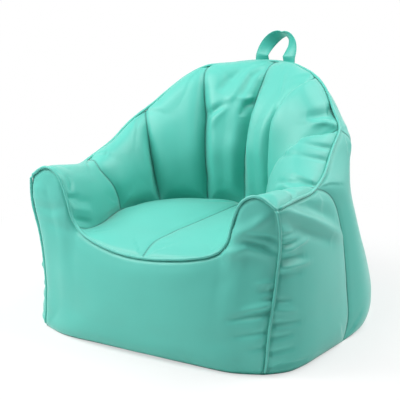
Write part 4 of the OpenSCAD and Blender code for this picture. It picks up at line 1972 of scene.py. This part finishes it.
@dataclass(frozen=True)
class Weave(Finish):
    """Plain woven or bonded cloth, given by its thread spacing."""

    pitch: float
    fuzz: float = 0.3

    def material(self) -> bpy.types.Material:
        """Builds the material.

        Returns:
            The material.
        """
        nodes = self.start()
        threads = []
        for axis in ("X", "Y"):
            wave = nodes.add("TexWave", bands_direction=axis, Vector=nodes.place, Scale=0.314 / self.pitch,
                             Distortion=0.4, Detail_Scale=2.0)
            threads.append(wave.outputs["Fac"])
        cloth = nodes.math("ADD", nodes.math("MULTIPLY", threads[0], threads[1]),
                           nodes.math("MULTIPLY", nodes.noise(700, 2), self.fuzz))
        shade = nodes.spread(nodes.noise(35), 0.25, 0.75)
        color = nodes.mixed(shade, tint(self.color, 0.86), tint(self.color, 1.08))
        return nodes.end("BsdfPrincipled", Base_Color=color, Roughness=nodes.spread(cloth, 0.8, 0.95),
                         Normal=nodes.bump(cloth, 0.15 * MM), Sheen_Weight=0.3, Sheen_Roughness=0.6)


@dataclass(frozen=True)
class Moulded(Finish):
    """Moulded plastic or enamelled metal with a fine surface and light scuffs."""

    roughness: float
    coat: float = 0.0

    def material(self) -> bpy.types.Material:
        """Builds the material.

        Returns:
            The material.
        """
        nodes = self.start()
        scuffs = nodes.noise(240, 4, 0.65, (1, 6, 1))
        color = nodes.mixed(nodes.noise(60, 2), tint(self.color, 0.9), tint(self.color, 1.1))
        rough = nodes.spread(scuffs, self.roughness - 0.08, self.roughness + 0.14)
        normal = nodes.bump(nodes.noise(1800, 2), 0.02 * MM, 0.6)
        return nodes.end("BsdfPrincipled", Base_Color=color, Roughness=rough, Normal=normal,
                         Coat_Weight=self.coat, Coat_Roughness=0.2)


@dataclass(frozen=True)
class Beads(Finish):
    """Small white foam beads, packed side by side."""

    size: float = 4 * MM

    def material(self) -> bpy.types.Material:
        """Builds the material.

        Returns:
            The material.
        """
        nodes = self.start()
        round_bead = nodes.math("SUBTRACT", 1.0, nodes.cells(1 / self.size))
        color = nodes.mixed(nodes.noise(90, 2), tint(self.color, 0.94), tint(self.color, 1.02))
        return nodes.end("BsdfPrincipled", Base_Color=color, Roughness=nodes.spread(round_bead, 0.75, 0.6),
                         Normal=nodes.bump(round_bead, 1.2 * MM), Subsurface_Weight=0.15)


MINT = (0.095, 0.52, 0.435)
COVER = FauxLeather("cover_leather", MINT)
WELT = FauxLeather("piping_leather", MINT, roughness=0.38, grain=0.06 * MM)
LOOP = FauxLeather("strap_leather", (0.055, 0.47, 0.385), roughness=0.42, grain=0.08 * MM)
THREAD = Thread("sewing_thread", (0.05, 0.46, 0.38))
TAPE = Weave("zip_tape_weave", (0.05, 0.38, 0.31), pitch=0.8 * MM)
TEETH = Moulded("zip_teeth_plastic", (0.06, 0.40, 0.33), roughness=0.4)
SLIDER_ENAMEL = Moulded("slider_enamel", (0.07, 0.36, 0.30), roughness=0.28, coat=0.5)
LINER = Weave("liner_cloth", (0.82, 0.82, 0.79), pitch=1.4 * MM, fuzz=0.9)
FOAM_BEADS = Beads("foam_beads", (0.90, 0.90, 0.90))


# ---- studio


@dataclass(frozen=True)
class SoftBox:
    """A square soft light: degrees round and above the chair, metres away and across, and watts."""

    name: str
    azimuth: float
    elevation: float
    distance: float
    size: float
    power: float


SOFT_BOXES = (
    SoftBox("key_light", -55, 40, 3.0, 1.3, 50),
    SoftBox("low_light", -25, 18, 3.0, 2.0, 10),
    SoftBox("left_light", -80, 25, 3.0, 2.2, 12),
    SoftBox("top_light", -32, 62, 2.8, 1.5, 36),
    SoftBox("side_light", 108, 32, 3.0, 1.6, 15),
    SoftBox("rear_light", 145, 30, 3.0, 2.2, 22),
    SoftBox("hair_light", 125, 60, 3.0, 1.6, 50),
)


@dataclass(frozen=True)
class Studio:
    """The camera, lights, floor and background.

    The lights face the chair's middle. The floor is given by half its side. From the near to the far end of
    its fade it turns from least_white to white for the camera. The ambient light is given by its strength
    beside the white that the camera and the glosses see.
    """

    azimuth: float = 29.0
    elevation: float = 16.0
    distance: float = 3.6
    target: tuple[float, float, float] = (0.0, -0.0081, 0.35)
    lens: float = 102.2
    sensor: float = 36.0
    shift: tuple[float, float] = (-0.0376, 0.0076)
    middle: tuple[float, float, float] = (0.0, 0.0, 0.35)
    floor: float = 14.0
    fade: tuple[float, float] = (0.5, 1.3)
    least_white: float = 0.55
    ambient: float = 0.03

    def aim(self, obj: Object, azimuth: float, elevation: float, distance: float,
            centre: tuple[float, float, float]) -> None:
        """Places an object round a point and turns it towards that point.

        Args:
            obj: The camera or a light.
            azimuth: Degrees round the point, 0 in front.
            elevation: Degrees above it.
            distance: Metres from it.
            centre: The point.
        """
        a, e = math.radians(azimuth), math.radians(elevation)
        back = Vector((math.sin(a) * math.cos(e), -math.cos(a) * math.cos(e), math.sin(e)))
        obj.location = Vector(centre) + back * distance
        obj.rotation_euler = (-back).to_track_quat("-Z", "Y").to_euler()

    def add_camera(self) -> None:
        """Places the camera."""
        data = bpy.data.cameras.new("camera")
        data.lens = self.lens
        data.sensor_width = self.sensor
        data.shift_x, data.shift_y = self.shift
        camera = linked("camera", data)
        self.aim(camera, self.azimuth, self.elevation, self.distance, self.target)
        bpy.context.scene.camera = camera

    def add_light(self, box: SoftBox) -> None:
        """Adds a square soft light that faces the chair.

        Args:
            box: The light.
        """
        data = bpy.data.lights.new(box.name, "AREA")
        data.shape = "SQUARE"
        data.size = box.size
        data.energy = box.power
        self.aim(linked(box.name, data), box.azimuth, box.elevation, box.distance, self.middle)

    def add_world(self) -> None:
        """White behind everything and in every gloss, and a faint even light from all round."""
        nodes = Nodes(bpy.data.worlds.new("world"), "OutputWorld")
        path = nodes.add("LightPath")
        strength: float | Socket = self.ambient
        for ray in ("Is Camera Ray", "Is Glossy Ray", "Is Transmission Ray"):
            strength = nodes.math("MAXIMUM", strength, path.outputs[ray])
        bpy.context.scene.world = nodes.end("Background", Color=(1, 1, 1, 1), Strength=strength)

    def add_floor(self) -> None:
        """A wide pale floor, which takes the chair's shadow and fades to white away from it."""
        points = np.array([[x, y, 0.0] for y in (-self.floor, self.floor) for x in (-self.floor, self.floor)])
        floor = new_object("floor", points, [(0, 1, 3, 2)])
        nodes = Nodes(bpy.data.materials.new("floor"), "OutputMaterial")
        pale = nodes.mixed(nodes.noise(3, 2), (0.90, 0.90, 0.90, 1), (0.93, 0.93, 0.93, 1))
        matt = nodes.add("BsdfDiffuse", Color=pale)
        white = nodes.add("Emission", Strength=1.0)
        away = nodes.add("VectorMath", operation="LENGTH", Vector=nodes.place)
        near, far = self.fade
        whiter = nodes.add("MapRange", Value=away.outputs["Value"], From_Min=near, From_Max=far,
                           To_Min=self.least_white, To_Max=1.0)
        seen = nodes.add("LightPath").outputs["Is Camera Ray"]
        share = nodes.math("MULTIPLY", whiter.outputs["Result"], seen)
        floor.data.materials.append(nodes.end("MixShader", share, matt.outputs[0], white.outputs[0]))

    def set_up(self) -> None:
        """Makes the whole studio."""
        self.add_camera()
        for light in SOFT_BOXES:
            self.add_light(light)
        self.add_world()
        self.add_floor()
        bpy.context.scene.view_settings.view_transform = "Standard"


# ---- the whole


def dress(objects: Sequence[Object], finish: Finish) -> None:
    """Gives some objects one finish.

    Args:
        objects: The objects.
        finish: Their finish.
    """
    material = finish.material()
    for obj in objects:
        obj.data.materials.clear()
        obj.data.materials.append(material)
        LOG.info("dressed: %s in %s", obj.name, material.name)


def main() -> None:
    """Builds the chair in order."""
    logging.basicConfig(level=logging.INFO)
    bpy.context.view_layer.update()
    Studio().set_up()
    bag = Bag("bead_fill")
    cover = Cover()
    cover.sew(bag, {plan.node: tree_of(plan.node) for plan in PIPINGS})
    welts = [Piping(plan) for plan in PIPINGS]
    for welt in welts:
        welt.sew(cover, bag)
    loop = CarryingLoop()
    loop.sew(cover.slump)
    halves = [BaseHalf("base_front_panel", Seed.BASE_FRONT), BaseHalf("base_rear_panel", Seed.BASE_REAR)]
    for half in halves:
        half.sew(cover.slump)
    tapes = [ZipTape("zip_front_tape"), ZipTape("zip_rear_tape")]
    for tape in tapes:
        tape.weave()
    filling = Filling()
    filling.make(cover, bag)
    dress([panel.obj for panel in cover.panels] + [half.obj for half in halves], COVER)
    dress([welt.obj for welt in welts], WELT)
    dress(loop.pieces, LOOP)
    dress(loop.threads + [half.thread for half in halves], THREAD)
    dress([tape.obj for tape in tapes], TAPE)
    plastic = ("zip_front_teeth", "zip_rear_teeth", "zip_left_stop", "zip_right_stop")
    dress([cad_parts[node] for node in plastic], TEETH)
    dress([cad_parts["zip_slider"]], SLIDER_ENAMEL)
    dress([filling.pieces["liner_bag"], filling.pieces["liner_strip"]], LINER)
    dress([filling.pieces["bead_heap"]], FOAM_BEADS)


if __name__ == "__main__":
    main()
